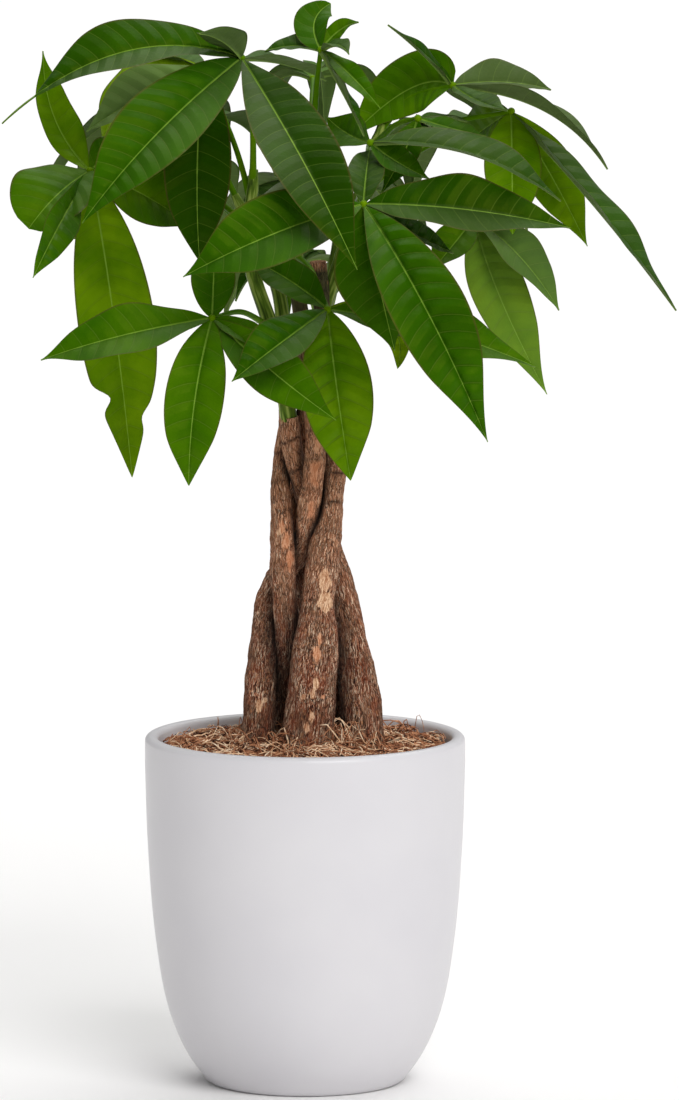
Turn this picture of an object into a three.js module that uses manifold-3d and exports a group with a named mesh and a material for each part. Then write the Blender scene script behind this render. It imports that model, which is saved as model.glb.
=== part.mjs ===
// A potted money tree: five braided trunks with green shoots and palmate leaves, in a tapered ceramic pot.
// Millimetres, +Z up. The origin is the centre of the pot's flat base, and the front faces -Y.
import * as THREE from "three";
import { mergeVertices } from "three/addons/utils/BufferGeometryUtils.js";
import Module from "manifold-3d";

const wasm = await Module();
wasm.setup();

// Clearance between pieces that touch
const GAP = 0.35;

// Vertices nearer than this are one vertex
const SAME_VERTEX = 1e-3;

// The pot
const POT_HEIGHT = 129;
const POT_RADII = [[0, 36], [11, 43.8], [28, 50.7], [56, 55.5], [90, 58.1], [118, 59]]; // height, radius
const POT_WALL = 5;
const POT_FLOOR = 6;
const FLOOR_CORNER = 4; // bevel between the inside wall and the floor
const FOOT_ROUND = 1.5;
const LIP_ROUND = 2.2;
const LIP_START = 118; // height where the inside wall ends and the lip begins
const LIP_ANGLES = { outer: [-10, 35, 80], inner: [100, 145, 190] }; // degrees
const POT_RINGS = 9;
const WALL_RINGS = [0, 0.12, 0.3, 0.6, 1]; // shares of the way up the inside wall
const POT_SIDES = 36;

// The soil and the coir fibre on it
const FILL_SIDES = 28;
const SOIL_TOP = 113;
const MULCH_TOP = 123;
const MULCH_RINGS = [1, 0.86, 0.68, 0.48, 0.26]; // shares of its radius
const MULCH_MOUND = 4.5; // how far the fibre rises round the trunks
const MOUND_REACH = 30;
const FIBRE_WAVE = 0.7; // height of the uneven top's waves
const WAVE_REACH = 4.6; // their length for each radian
const STRAND_SEED = 41;
const STRANDS = 7; // coarse strands that stand out of the fibre
const STRAND_PLACE = [32, 47]; // how far from the middle a strand starts
const STRAND_SPAN = [5, 11];
const STRAND_RISE = { middle: [4, 7], end: [1, 6] };
const STRAND_RADII = [0.8, 0.7, 0.5];
const STRAND_DEPTH = 2; // how far its root is sunk
const STRAND_SIDES = 4;

// Trunks and shoots
const WOOD_SIDES = 8;
const SHOOT_SIDES = 6;
const SHOOT_SAMPLES = 60;
const BARK_ROUGHNESS = 0.035; // of the radius
const BARK_WAVES = [[3, 11], [2, 5]]; // ridges round the trunk, and their rise in mm for each radian

// Leaves
const BLADE_THICKNESS = 0.7;
const BLADE_STATIONS = [0.015, 0.17, 0.36, 0.57, 0.8, 1]; // shares of the leaflet's length
const OUTLINE = { lean: 0.97, fullness: 1, dripStart: 0.7, dripNarrowing: 0.45, dripCurve: 1.5 };
const LEAST_HALVES = [0.5, 0.35]; // half widths at the root and at the tip
const FOLD = 0.3; // radians that each half of a leaflet is raised about its rib
const HUB_RADIUS = 2.5;
const PETIOLE_RADII = [1.6, 1.1]; // at the shoot, at the hub
const PETIOLE_ARCH = 4; // how far a petiole without a bend of its own rises at its middle
const SLIVER = 0.25; // slivers below this are merged away where a leaf's parts meet

// The front is described as it is seen from an eye 3.4 m away: a point is written
// [across, height, depth], with across and height read on the plane y = 0 and depth along +Y.
const EYE = new THREE.Vector3(12.7, -3400, 638);
const FORWARD = 1.35; // depths in front of the trunks are stretched, which makes the crown as deep as wide

// The five canes. Each point of the wood and of its green shoot is [x, y, z, radius].
const CANES = {
  left: {
    wood: [
      [-17, -4, 92, 5.8], [-17.4, -3.5, 125, 6.4], [-16.8, -3, 140, 5.9], [-16.1, -2.5, 152, 5.5],
      [-15.1, -1, 162, 5.4], [-13.8, 1, 171, 5.3], [-11.8, 2.8, 180, 5.3], [-8, 3.4, 188, 5],
      [-3, 1, 196, 4.5], [0, -2.6, 204, 4.2], [1.4, -5.8, 213, 4.1], [2.8, -6.3, 222, 4.1],
      [3.8, -5.5, 232, 3.9], [3.6, -4.5, 243, 3.6], [1.8, -3, 262, 3.3], [-2.6, -0.5, 294, 3],
    ],
    shoot: [
      [-2.2, -0.8, 291, 2.8], [-3, 0.2, 308, 2.6], [-1, 1, 328, 2.4],
      [2.5, 2, 346, 2.1], [3.5, 2, 356, 1.6],
    ],
  },
  right: {
    wood: [
      [20, -4, 92, 7.5], [20.7, -3.5, 125, 8.7], [20, -3, 140, 7.9], [19.1, -2.5, 150, 6.9],
      [18, -1.5, 160, 6.1], [16.3, 0.2, 170, 5.5], [13.9, 1.8, 180, 5.1], [11.2, 3.2, 190, 4.8],
      [7.8, 4.2, 200, 4.5], [3.8, 4, 210, 4.2], [-0.3, 2.8, 219, 4], [-3.1, 0, 229, 3.9],
      [-4.8, -1.6, 238, 3.8], [-5.6, -2.2, 247, 3.4],
    ],
    shoot: [
      [-5.5, -2.1, 244, 3.2], [-8.5, -3, 263, 3], [-13, -4, 282, 2.8], [-18.5, -4, 299, 2.6],
      [-20.5, -3.5, 316, 2.4], [-19, -3, 331, 2.2], [-18.6, -3, 338, 1.6],
    ],
  },
  front: {
    wood: [
      [0, -13, 92, 8.6], [0.5, -13, 125, 9.4], [2, -12.5, 140, 9], [2.6, -12, 150, 9.3],
      [3.5, -11.5, 160, 8.5], [4.2, -11, 170, 7.3], [4.9, -10, 180, 6.4], [6.5, -9, 190, 6],
      [7.6, -7.5, 200, 5.5], [9.2, -5, 210, 4.8], [10.2, -2.5, 220, 4.2], [11, -0.5, 230, 3.8],
      [10.9, 1, 243, 3.6], [9, 1.5, 262, 3.4], [6.5, 1, 284, 3.2], [4.8, 0, 304, 3],
    ],
    shoot: [
      [6.6, 1, 284, 2.4], [10.5, 3, 297, 2.5], [16, 5, 313, 2.4], [21, 6, 330, 2.3],
      [26, 6, 346, 2.1], [28.5, 6, 354, 1.6],
    ],
  },
  back_left: {
    wood: [
      [-8, 15, 92, 7], [-8.5, 14, 125, 7.8], [-8.5, 11, 138, 6.8], [-8, 5, 149, 6],
      [-6.8, -0.5, 159, 5.3], [-6.4, -4.5, 169, 5], [-7.2, -7, 180, 4.5], [-8.2, -6.8, 190, 4.6],
      [-7.8, -5.5, 200, 4.5], [-8.3, -3, 210, 4.2], [-8.9, 0.5, 220, 3.9], [-8.2, 4.5, 230, 3.6],
      [-6.6, 6.8, 243, 3.3], [-6, 8, 256, 3],
    ],
    shoot: [
      [-6, 7.8, 253, 2.8], [-7.5, 13, 272, 2.7], [-10, 19, 292, 2.6],
      [-19, 24, 312, 2.3], [-26, 26, 326, 1.6],
    ],
  },
  back_right: {
    wood: [
      [13, 15, 92, 7], [13.5, 14.5, 125, 7.8], [13, 13.5, 138, 7], [11.3, 12.5, 150, 6.2],
      [8.5, 12, 161, 5.7], [3.5, 12, 172, 5.8], [0.8, 12, 182, 5.3], [-1.8, 11.5, 191, 5],
      [-4, 9.8, 200, 4.6], [-4.6, 8.4, 209, 4.3], [-2.8, 10.6, 218, 4.1], [1.3, 10.3, 226, 3.9],
      [2, 8.8, 234, 3.7], [0, 7.6, 245, 3.5], [1, 9, 258, 3.2],
    ],
    shoot: [
      [0.9, 8.8, 255, 3], [5, 15, 274, 2.8], [10, 22, 294, 2.6],
      [13, 27, 314, 2.3], [14, 29, 330, 1.6],
    ],
  },
};

// The leaves that show from the front. Each leaflet is its mid point, its tip, its width and
// the direction that its upper face looks in.
const FRONT_LEAVES = [
  {
    name: "leaf_top_left", shoot: "right", from: 333, bend: [-19.2, 355, -6], hub: [-23, 378.5, -10],
    leaflets: [
      [[-67, 380.6, -20], [-110.7, 354.6, -26], 27, [0, -1, 1.3]],
      [[-54.5, 350.3, -38], [-81.5, 318, -48], 31, [-0.2, -1, 0.5]],
      [[-1.5, 342.5, -46], [19.2, 301, -66], 29, [0.2, -1, 0.4]],
      [[-7, 376.8, 10], [8, 370.5, 26], 16, [0, -0.2, 1]],
      [[-30, 385.2, -20], [-38.5, 387.8, -34], 17, [0, 0.5, 1]],
    ],
  },
  {
    name: "leaf_top_left_back", shoot: "right", from: 326, bend: [-25, 345, 3], hub: [-37.1, 375.1, 14],
    leaflets: [
      [[-59.5, 364.5, 6], [-79.8, 351.6, 4], 24, [-0.3, -1, 1]],
      [[-62, 366, 26], [-74, 347, 34], 28, [-0.5, -0.7, 1]],
      [[-39.3, 338, 2], [-38.5, 304, 0], 26, [0.1, -1, 0.2]],
      [[-50, 377.5, 34], [-66, 375.5, 60], 20, [0, 0, 1]],
      [[-36, 372, 32], [-34, 361, 48], 18, [0, 0.3, 1]],
    ],
  },
  {
    name: "leaf_far_left", shoot: "right", from: 318, bend: [-46, 335, 17], hub: [-78.5, 337.2, 8],
    leaflets: [
      [[-91.5, 357, 14], [-95.4, 381, 10], 17, [0.6, -1, 0.2]],
      [[-90, 329, -6], [-101, 316, -12], 33, [-0.5, -1, 0.5]],
      [[-70.2, 285, 4], [-63.4, 224.4, 8], 30, [0.1, -1, 0.15]],
      [[-59, 328.5, 10], [-40, 316, 18], 26, [0.2, -1, 0.5]],
      [[-90, 317, -24], [-99.5, 297.9, -36], 14, [0.5, -1, 0]],
      [[-71, 343, 12], [-62, 347, 18], 16, [-0.3, -1, 0.6]],
    ],
  },
  {
    name: "leaf_low_left", shoot: "right", from: 280, hub: [-34, 283.1, -32],
    leaflets: [
      [[-66, 277, -40], [-96.8, 267.7, -38], 22.5, [0, -1, 1]],
      [[-40.4, 252.5, -44], [-42.6, 221.3, -44], 22.5, [0, -1, 0.2]],
      [[-33.4, 297.5, -27], [-33, 309.5, -22], 17, [0, -1, 0.6]],
      [[-12, 263.5, -42], [11.3, 245.6, -48], 21, [0.1, -1, 0.5]],
      [[-21.5, 277, -34], [-8, 269, -30], 12, [0, -1, 1.2]],
    ],
  },
  {
    name: "leaf_low_centre", shoot: "left", from: 306, hub: [8.3, 286.3, -28],
    leaflets: [
      [[-9.5, 273.5, -46], [-26.8, 259.8, -56], 20, [-0.2, -1, 0.5]],
      [[11.9, 256, -30], [16.8, 223.2, -26], 27, [0.05, -1, 0.15]],
      [[46, 279, -26], [84.6, 265.2, -22], 24, [0, -1, 1.2]],
      [[-5.5, 297, -22], [-22, 306, -14], 16, [0.3, -1, 0.5]],
      [[30.5, 281.5, -12], [34, 264.6, -14], 12, [0, -1, 0.3]],
    ],
  },
  {
    name: "leaf_front_right", shoot: "front", from: 325, hub: [21.5, 325, -40],
    leaflets: [
      [[-11, 314.3, -54], [-44.6, 298.3, -56], 30, [-0.1, -1, 0.6]],
      [[58, 323.2, -44], [97.2, 316.3, -40], 27, [0, -1, 1.1]],
      [[45, 285.3, -62], [67.1, 237.4, -62], 29, [0.15, -1, 0.35]],
      [[26.3, 299.5, -42], [32.9, 271.2, -40], 30, [-0.3, -1, 0.1]],
      [[22.5, 336.5, -30], [23.8, 345, -16], 14, [0, -1, 0.9]],
      [[38, 315, -32], [54.5, 307, -26], 16, [0, -0.6, 1]],
    ],
  },
  {
    name: "leaf_crown", shoot: "left", from: 352, hub: [6, 381.5, -4],
    leaflets: [
      [[3.5, 391.5, 4], [9.5, 398.5, 10], 15, [-0.35, -1, 0.3]],
      [[12.5, 388.5, -2], [19.5, 391.8, -6], 8, [0, -1, 1]],
      [[11.5, 383.5, -12], [16.2, 380, -20], 9, [0.2, -1, 1]],
      [[-4, 383, 2], [-14.7, 381, 4], 12, [0, -0.6, 1]],
      [[17, 372, -14], [27.7, 360, -20], 9, [0.3, -1, 0.6]],
      [[14.5, 366, -18], [22, 350, -24], 10, [1, -0.1, 0.7]],
    ],
  },
  {
    name: "leaf_top_right", shoot: "front", from: 352, bend: [38.7, 364, 6], hub: [54, 368.5, 0],
    leaflets: [
      [[44.5, 379.2, -4], [30.5, 390.8, -8], 8, [0.75, -0.3, 0.75]],
      [[38.5, 367.4, 8], [17, 350, 6], 25, [-0.4, -1, 0.45]],
      [[72, 369.8, 6], [90, 367, 10], 22, [0, -0.5, 1]],
      [[87.5, 360, -10], [110.9, 337.9, -16], 20, [0.5, 0.02, 0.86]],
      [[63, 363, -14], [74, 359.5, -26], 12, [0, -0.3, 1]],
      [[60, 366, 26], [66, 355, 48], 22, [0, 0.6, 1]],
    ],
  },
  {
    name: "leaf_far_right", shoot: "front", from: 340, hub: [75.4, 359, 8],
    leaflets: [
      [[75.8, 338, 0], [76, 314, -2], 22, [0, -1, 0.2]],
      [[66, 353, 22], [56, 345, 40], 20, [0, -1, 0.5]],
      [[105.5, 325.7, -6], [136.2, 286, -10], 22, [0.78, -0.22, 0.6]],
      [[89.5, 336.5, 14], [103.4, 309.5, 16], 20, [-0.1, -1, 0.3]],
      [[77, 351, 24], [79, 341, 36], 12, [0.2, 0.6, 1]],
    ],
  },
  {
    name: "leaf_mid_right", shoot: "front", from: 336, hub: [24, 347.5, -25],
    leaflets: [
      [[60, 344, -34], [93.8, 326.3, -34], 25, [0, -0.25, 1]],
      [[15.5, 351, -10], [8, 357, -6], 16, [0, -1, 0.3]],
      [[33, 341, -27], [46, 334, -28], 13, [0, -1, 1]],
    ],
  },
  {
    name: "leaf_inner_right", shoot: "front", from: 347, bend: [33.8, 354.4, -5], hub: [41.3, 356.4, -11],
    leaflets: [
      [[50, 356.9, -4], [59.4, 355.6, -2], 8, [0, 0, 1]],
      [[53, 353, -14], [66, 350, -22], 9, [0, -0.6, 1]],
      [[36.5, 344.5, -14], [28, 329, -16], 12, [0, -1, 0.3]],
      [[47.5, 355.5, 12], [53, 350, 26], 11, [0, 0.5, 1]],
    ],
  },
  {
    name: "leaf_low_right", shoot: "front", from: 318, hub: [62, 320, 14],
    leaflets: [
      [[71, 292, 8], [88.8, 255, 6], 22, [0.1, -1, 0.3]],
      [[78.5, 306, 6], [93.2, 286, 2], 20, [0.6, -0.8, 0.6]],
      [[55, 311, 6], [46, 300, -2], 16, [-0.3, -1, 0.4]],
      [[70, 318, 34], [76, 303, 54], 16, [0.3, 0.5, 1]],
      [[62, 316, 30], [62, 303, 42], 16, [0, 0.7, 1]],
    ],
  },
];

// The leaves behind, whose leaflets are spread like rays: heading in degrees from +X.
const BACK_LEAVES = [
  { name: "leaf_back_1", shoot: "back_left", from: 322, hub: [-42, 353, 44], heading: 128, length: 84 },
  { name: "leaf_back_2", shoot: "back_right", from: 326, hub: [9, 328, 70], heading: 96, length: 84 },
  { name: "leaf_back_3", shoot: "back_right", from: 316, hub: [50, 349, 54], heading: 60, length: 76 },
  { name: "leaf_back_4", shoot: "back_left", from: 300, hub: [-46, 338, 38], heading: 128, length: 66 },
  { name: "leaf_back_5", shoot: "left", from: 345, hub: [3, 371, 44], heading: 80, length: 50 },
  { name: "leaf_back_6", shoot: "back_left", from: 276, hub: [-2, 303, 42], heading: 126, length: 54 },
  { name: "leaf_back_7", shoot: "back_right", from: 288, hub: [24, 300, 54], heading: 52, length: 62 },
];
const RAY_SEED = 7;
const RAYS = 5;
const RAY_SPREAD = 42; // degrees between neighbouring leaflets
const RAY_STRAY = 6; // degrees that one may stray either way
const RAY_LENGTHS = [0.94, 1.06];
const RAY_DROOPS = [0.375, 0.6]; // how far the tip hangs, as shares of the length
const RAY_SHORTER = 0.24; // each leaflet away from the middle one is shorter by this share
const RAY_RISE = 0.08; // of the length, at its middle
const MIDDLE_DROOP = 0.12; // of the tip's droop, at its middle
const TIP_REACH = 0.88; // of the length, sideways
const OUTWARD_LEAN = 0.4; // how far a leaflet's face leans outwards
const WIDTH_OF_LENGTH = 0.26;

const MATERIALS = {
  ceramic: new THREE.MeshStandardMaterial({ color: 0xe4e1e2, roughness: 0.32, metalness: 0 }),
  soil: new THREE.MeshStandardMaterial({ color: 0x35271c, roughness: 1, metalness: 0 }),
  coir: new THREE.MeshStandardMaterial({ color: 0x6b4a30, roughness: 1, metalness: 0 }),
  bark: new THREE.MeshStandardMaterial({ color: 0x7d6a56, roughness: 0.85, metalness: 0 }),
  shoot: new THREE.MeshStandardMaterial({ color: 0x6f8a3c, roughness: 0.55, metalness: 0 }),
  leaf: new THREE.MeshStandardMaterial({ color: 0x3f6b2a, roughness: 0.45, metalness: 0 }),
};

// Seeded draw by the Lehmer generator, so that every build is the same
const MULTIPLIER = 16807;
const MODULUS = 2 ** 31 - 1;
function draws(seed) {
  let state = seed;
  return (low, high) => {
    state = (state * MULTIPLIER) % MODULUS;
    return low + ((high - low) * state) / MODULUS;
  };
}

const vector = (values) => new THREE.Vector3(values[0], values[1], values[2]);

// The point at that depth which the eye sees at (across, height) on the plane y = 0
function seen([across, height, depth]) {
  const away = depth < 0 ? depth * FORWARD : depth;
  const onPlane = new THREE.Vector3(across, 0, height);
  return onPlane.sub(EYE).multiplyScalar(1 - away / EYE.y).add(EYE);
}

// A closed solid through rings of equal, even size, each counterclockwise about the way they follow.
// The two halves of a ring are split along matching diagonals, so that a thin blade's faces agree.
function skin(rings) {
  const sides = rings[0].length;
  const last = (rings.length - 1) * sides;
  const faces = [];
  for (let start = 0; start < last; start += sides) {
    for (let k = 0; k < sides; k++) {
      const a = start + k;
      const b = start + ((k + 1) % sides);
      if (k < sides / 2) faces.push(a, b, b + sides, a, b + sides, a + sides);
      else faces.push(a, b, a + sides, b, b + sides, a + sides);
    }
  }
  for (let k = 0; k < sides / 2 - 1; k++) {
    const [a, b, c, d] = [k, k + 1, sides - 2 - k, sides - 1 - k];
    faces.push(a, c, b, a, d, c);
    faces.push(last + a, last + b, last + c, last + a, last + c, last + d);
  }
  const geometry = new THREE.BufferGeometry();
  const places = rings.flat().flatMap((p) => p.toArray());
  geometry.setAttribute("position", new THREE.Float32BufferAttribute(places, 3));
  geometry.setIndex(faces);
  return geometry;
}

function solid(geometry) {
  const bare = geometry.clone();
  bare.deleteAttribute("normal");
  bare.deleteAttribute("uv");
  const merged = mergeVertices(bare, SAME_VERTEX);
  return new wasm.Manifold(
    new wasm.Mesh({
      numProp: 3,
      vertProperties: merged.attributes.position.array,
      triVerts: new Uint32Array(merged.index.array),
    }),
  );
}

function toMesh(made, name, material) {
  const { numProp, vertProperties, triVerts } = made.getMesh();
  const positions = new Float32Array((vertProperties.length / numProp) * 3);
  for (let i = 0; i * numProp < vertProperties.length; i++) {
    positions.set(vertProperties.subarray(i * numProp, i * numProp + 3), i * 3);
  }
  const geometry = new THREE.BufferGeometry();
  geometry.setAttribute("position", new THREE.BufferAttribute(positions, 3));
  geometry.setIndex(new THREE.BufferAttribute(triVerts, 1));
  geometry.computeVertexNormals();
  const mesh = new THREE.Mesh(geometry, material);
  mesh.name = name;
  return mesh;
}

// The world axis that lies most across a direction
function acrossAxis(direction) {
  const sizes = direction.toArray().map(Math.abs);
  const least = sizes.indexOf(Math.min(...sizes));
  return new THREE.Vector3().setComponent(least, 1);
}

// A round limb along points with radii. rough gives bark ridges, and grow makes it fatter and longer.
function limb(points, radii, { sides = SHOOT_SIDES, steps = 2, rough = 0, grow = 0 } = {}) {
  const curve = new THREE.CatmullRomCurve3(points);
  const count = (points.length - 1) * steps;
  const reference = acrossAxis(points.at(-1).clone().sub(points[0]));
  const rings = [];
  for (let i = 0; i <= count; i++) {
    const along = i / steps;
    const before = Math.min(Math.floor(along), radii.length - 2);
    const radius = THREE.MathUtils.lerp(radii[before], radii[before + 1], along - before) + grow;
    const tangent = curve.getTangent(i / count);
    const centre = curve.getPoint(i / count);
    if (i === 0) centre.addScaledVector(tangent, -grow);
    if (i === count) centre.addScaledVector(tangent, grow);
    const right = reference.clone().addScaledVector(tangent, -reference.dot(tangent)).normalize();
    const up = tangent.clone().cross(right);
    const ring = [];
    for (let k = 0; k < sides; k++) {
      const angle = (2 * Math.PI * k) / sides;
      const waves = BARK_WAVES.map(([around, rise]) => Math.sin(around * angle + centre.z / rise));
      const ridge = 1 + rough * (waves[0] + waves[1]);
      ring.push(
        centre
          .clone()
          .addScaledVector(right, radius * ridge * Math.cos(angle))
          .addScaledVector(up, radius * ridge * Math.sin(angle)),
      );
    }
    rings.push(ring);
  }
  return solid(skin(rings));
}

const caneLimb = (points, options) => limb(points.map(vector), points.map((p) => p[3]), options);

// Half width of a leaflet as a share of its greatest, from its root (0) to its drip tip (1)
function leafletOutline(along) {
  const drip = Math.max(0, (along - OUTLINE.dripStart) / (1 - OUTLINE.dripStart));
  const full = Math.sin(Math.PI * along ** OUTLINE.lean) ** OUTLINE.fullness;
  return full * (1 - OUTLINE.dripNarrowing * drip ** OUTLINE.dripCurve);
}

// A thin folded blade along the arc from hub through middle to tip
function leaflet(hub, middle, tip, width, facing) {
  const bow = middle.clone().multiplyScalar(2).addScaledVector(hub, -0.5).addScaledVector(tip, -0.5);
  const arc = new THREE.QuadraticBezierCurve3(hub, bow, tip);
  const rings = BLADE_STATIONS.map((along) => {
    const centre = arc.getPoint(along);
    const tangent = arc.getTangent(along);
    const normal = facing.clone().addScaledVector(tangent, -facing.dot(tangent)).normalize();
    const side = tangent.clone().cross(normal);
    const least = LEAST_HALVES[along < 0.5 ? 0 : 1];
    const half = Math.max((width / 2) * leafletOutline(along), least);
    const edge = (turn) =>
      centre
        .clone()
        .addScaledVector(side, turn * half * Math.cos(FOLD))
        .addScaledVector(normal, half * Math.sin(FOLD));
    const top = [edge(-1), centre, edge(1)];
    const under = top.map((p) => p.clone().addScaledVector(normal, -BLADE_THICKNESS)).reverse();
    return [...top, ...under];
  });
  return solid(skin(rings));
}

// Leaflets spread like rays about a hub, the middle one longest
function rayedLeaflets(centre, { heading, length }, draw) {
  return Array.from({ length: RAYS }, (unused, i) => {
    const place = i - (RAYS - 1) / 2;
    const angle = THREE.MathUtils.degToRad(heading + place * RAY_SPREAD + draw(-RAY_STRAY, RAY_STRAY));
    const reach = length * (1 - RAY_SHORTER * Math.abs(place)) * draw(...RAY_LENGTHS);
    const out = new THREE.Vector3(Math.cos(angle), Math.sin(angle), 0);
    const droop = draw(...RAY_DROOPS);
    const middle = centre.clone().addScaledVector(out, reach / 2);
    middle.z += reach * (RAY_RISE - droop * MIDDLE_DROOP);
    const tip = centre.clone().addScaledVector(out, reach * TIP_REACH);
    tip.z -= reach * droop;
    const facing = new THREE.Vector3(out.x * OUTWARD_LEAN, out.y * OUTWARD_LEAN, 1);
    return leaflet(centre, middle, tip, length * WIDTH_OF_LENGTH, facing);
  });
}

// The point on a shoot's axis at a height
function onShoot(name, height) {
  const points = new THREE.CatmullRomCurve3(CANES[name].shoot.map(vector)).getPoints(SHOOT_SAMPLES);
  const above = points.findIndex((p) => p.z >= height);
  const [low, high] = [points[above - 1], points[above]];
  return low.clone().lerp(high, (height - low.z) / (high.z - low.z));
}

// A leaf: its petiole, the hub and the leaflets in one body, cut clear of the shoot that it grows on
function leaf({ shoot, from, bend }, hub, leaflets) {
  const root = onShoot(shoot, from);
  const arch = new THREE.Vector3(0, 0, PETIOLE_ARCH);
  const middle = bend ? seen(bend) : root.clone().lerp(hub, 0.5).add(arch);
  const [thick, thin] = PETIOLE_RADII;
  const petiole = limb([root, middle, hub], [thick, (thick + thin) / 2, thin]);
  const knob = solid(new THREE.IcosahedronGeometry(HUB_RADIUS).translate(...hub.toArray()));
  const whole = wasm.Manifold.union([petiole, knob, ...leaflets]);
  return whole.subtract(shootLimb(shoot, GAP)).simplify(SLIVER);
}

function shootLimb(name, grow = 0) {
  return caneLimb(CANES[name].shoot, { steps: 1, grow });
}

function woodLimb(name, grow = 0) {
  return caneLimb(CANES[name].wood, { sides: WOOD_SIDES, steps: 1, rough: BARK_ROUGHNESS, grow });
}

// The trunks press on each other: each is flattened against those before it.
function trunks() {
  const made = new Map();
  for (const name of Object.keys(CANES)) {
    let trunk = woodLimb(name);
    for (const other of made.keys()) trunk = trunk.subtract(woodLimb(other, GAP));
    made.set(name, trunk);
  }
  return made;
}

// A solid of revolution about Z from its half section, written [radius, height]
function turned(section, sides) {
  const points = section.map(([radius, height]) => new THREE.Vector2(radius, height));
  return new THREE.LatheGeometry(points, sides).rotateX(Math.PI / 2);
}

// The pot's outer half section as [radius, height]
const potPoints = POT_RADII.map(([height, radius]) => new THREE.Vector2(radius, height));
const potOutside = new THREE.SplineCurve(potPoints).getPoints(POT_RINGS).map((p) => p.toArray());

// Outer radius of the pot at a height
function potRadius(height) {
  const above = potOutside.findIndex((p) => p[1] >= height);
  if (above < 0) return potOutside.at(-1)[0];
  if (above === 0) return potOutside[0][0];
  const [low, high] = [potOutside[above - 1], potOutside[above]];
  return THREE.MathUtils.mapLinear(height, low[1], high[1], low[0], high[0]);
}

// Points up the inside of the pot between two heights, as [radius, height]
function insideWall(low, high, inset) {
  return WALL_RINGS.map((share) => {
    const height = THREE.MathUtils.lerp(low, high, share);
    return [potRadius(height) - POT_WALL - inset, height];
  });
}

function pot() {
  const rim = potRadius(POT_HEIGHT);
  const base = potRadius(0);
  const rounded = (centre, degrees) => {
    const angle = THREE.MathUtils.degToRad(degrees);
    return [centre + LIP_ROUND * Math.cos(angle), POT_HEIGHT - LIP_ROUND + LIP_ROUND * Math.sin(angle)];
  };
  const foot = [[0, 0], [base - FOOT_ROUND, 0], [potRadius(FOOT_ROUND), FOOT_ROUND]];
  const outerLip = LIP_ANGLES.outer.map((degrees) => rounded(rim - LIP_ROUND, degrees));
  const innerLip = LIP_ANGLES.inner.map((degrees) => rounded(rim - POT_WALL + LIP_ROUND, degrees));
  const inside = insideWall(POT_FLOOR + FLOOR_CORNER, LIP_START, 0).reverse();
  const floor = [[inside.at(-1)[0] - FLOOR_CORNER, POT_FLOOR], [0, POT_FLOOR]];
  const section = [...foot, ...potOutside.slice(1), ...outerLip, ...innerLip, ...inside, ...floor];
  return solid(turned(section, POT_SIDES));
}

const cutAll = (made, holes) => holes.reduce((left, hole) => left.subtract(hole), made);

// The root ball up to the fibre, with a hole for each trunk
function soil(holes) {
  const low = POT_FLOOR + GAP;
  const wall = insideWall(POT_FLOOR + FLOOR_CORNER, SOIL_TOP, GAP);
  const section = [[0, low], [wall[0][0] - FLOOR_CORNER, low], ...wall, [0, SOIL_TOP]];
  return cutAll(solid(turned(section, FILL_SIDES)), holes);
}

// Height of the fibre's top at a place
function mulchHeight(x, y) {
  const mound = MULCH_MOUND * Math.exp(-((Math.hypot(x, y) / MOUND_REACH) ** 2));
  const lumps = Math.sin(x / WAVE_REACH) * Math.cos(y / WAVE_REACH) + Math.sin((x - y) / WAVE_REACH);
  return MULCH_TOP + mound + FIBRE_WAVE * lumps;
}

// A coarse strand that arches out of the fibre at a place and stays inside the pot's wall
function strand(draw, edge) {
  const angle = draw(0, 2 * Math.PI);
  const place = draw(...STRAND_PLACE);
  const [x, y] = [place * Math.cos(angle), place * Math.sin(angle)];
  const start = new THREE.Vector3(x, y, mulchHeight(x, y) - STRAND_DEPTH);
  const turn = draw(0, 2 * Math.PI);
  const span = Math.min(draw(...STRAND_SPAN), edge - place);
  const along = (share, rise) =>
    start.clone().add(new THREE.Vector3(share * span * Math.cos(turn), share * span * Math.sin(turn), rise));
  const points = [start, along(0.5, draw(...STRAND_RISE.middle)), along(1, draw(...STRAND_RISE.end))];
  return limb(points, STRAND_RADII, { sides: STRAND_SIDES, steps: 1 });
}

function mulch(holes) {
  const low = SOIL_TOP + GAP;
  const edge = potRadius(MULCH_TOP) - POT_WALL - GAP;
  const top = MULCH_RINGS.map((share) => [edge * share, MULCH_TOP]);
  const section = [[0, low], [potRadius(low) - POT_WALL - GAP, low], ...top, [0, MULCH_TOP]];
  const layer = turned(section, FILL_SIDES);
  const places = layer.attributes.position;
  for (let i = 0; i < places.count; i++) {
    if (places.getZ(i) > low + GAP) places.setZ(i, mulchHeight(places.getX(i), places.getY(i)));
  }
  const draw = draws(STRAND_SEED);
  const strands = Array.from({ length: STRANDS }, () => strand(draw, edge));
  return cutAll(wasm.Manifold.union([solid(layer), ...strands]), holes);
}

const plant = new THREE.Group();
plant.add(toMesh(pot(), "pot", MATERIALS.ceramic.clone()));

const holes = Object.keys(CANES).map((name) => woodLimb(name, GAP));
plant.add(toMesh(soil(holes), "soil", MATERIALS.soil.clone()));
plant.add(toMesh(mulch(holes), "coir_mulch", MATERIALS.coir.clone()));

for (const [name, trunk] of trunks()) {
  plant.add(toMesh(trunk, `trunk_${name}`, MATERIALS.bark.clone()));
  plant.add(toMesh(cutAll(shootLimb(name), holes), `shoot_${name}`, MATERIALS.shoot.clone()));
}

for (const each of FRONT_LEAVES) {
  const hub = seen(each.hub);
  const blades = each.leaflets.map(([middle, tip, width, facing]) =>
    leaflet(hub, seen(middle), seen(tip), width, vector(facing)),
  );
  plant.add(toMesh(leaf(each, hub, blades), each.name, MATERIALS.leaf.clone()));
}

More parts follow.
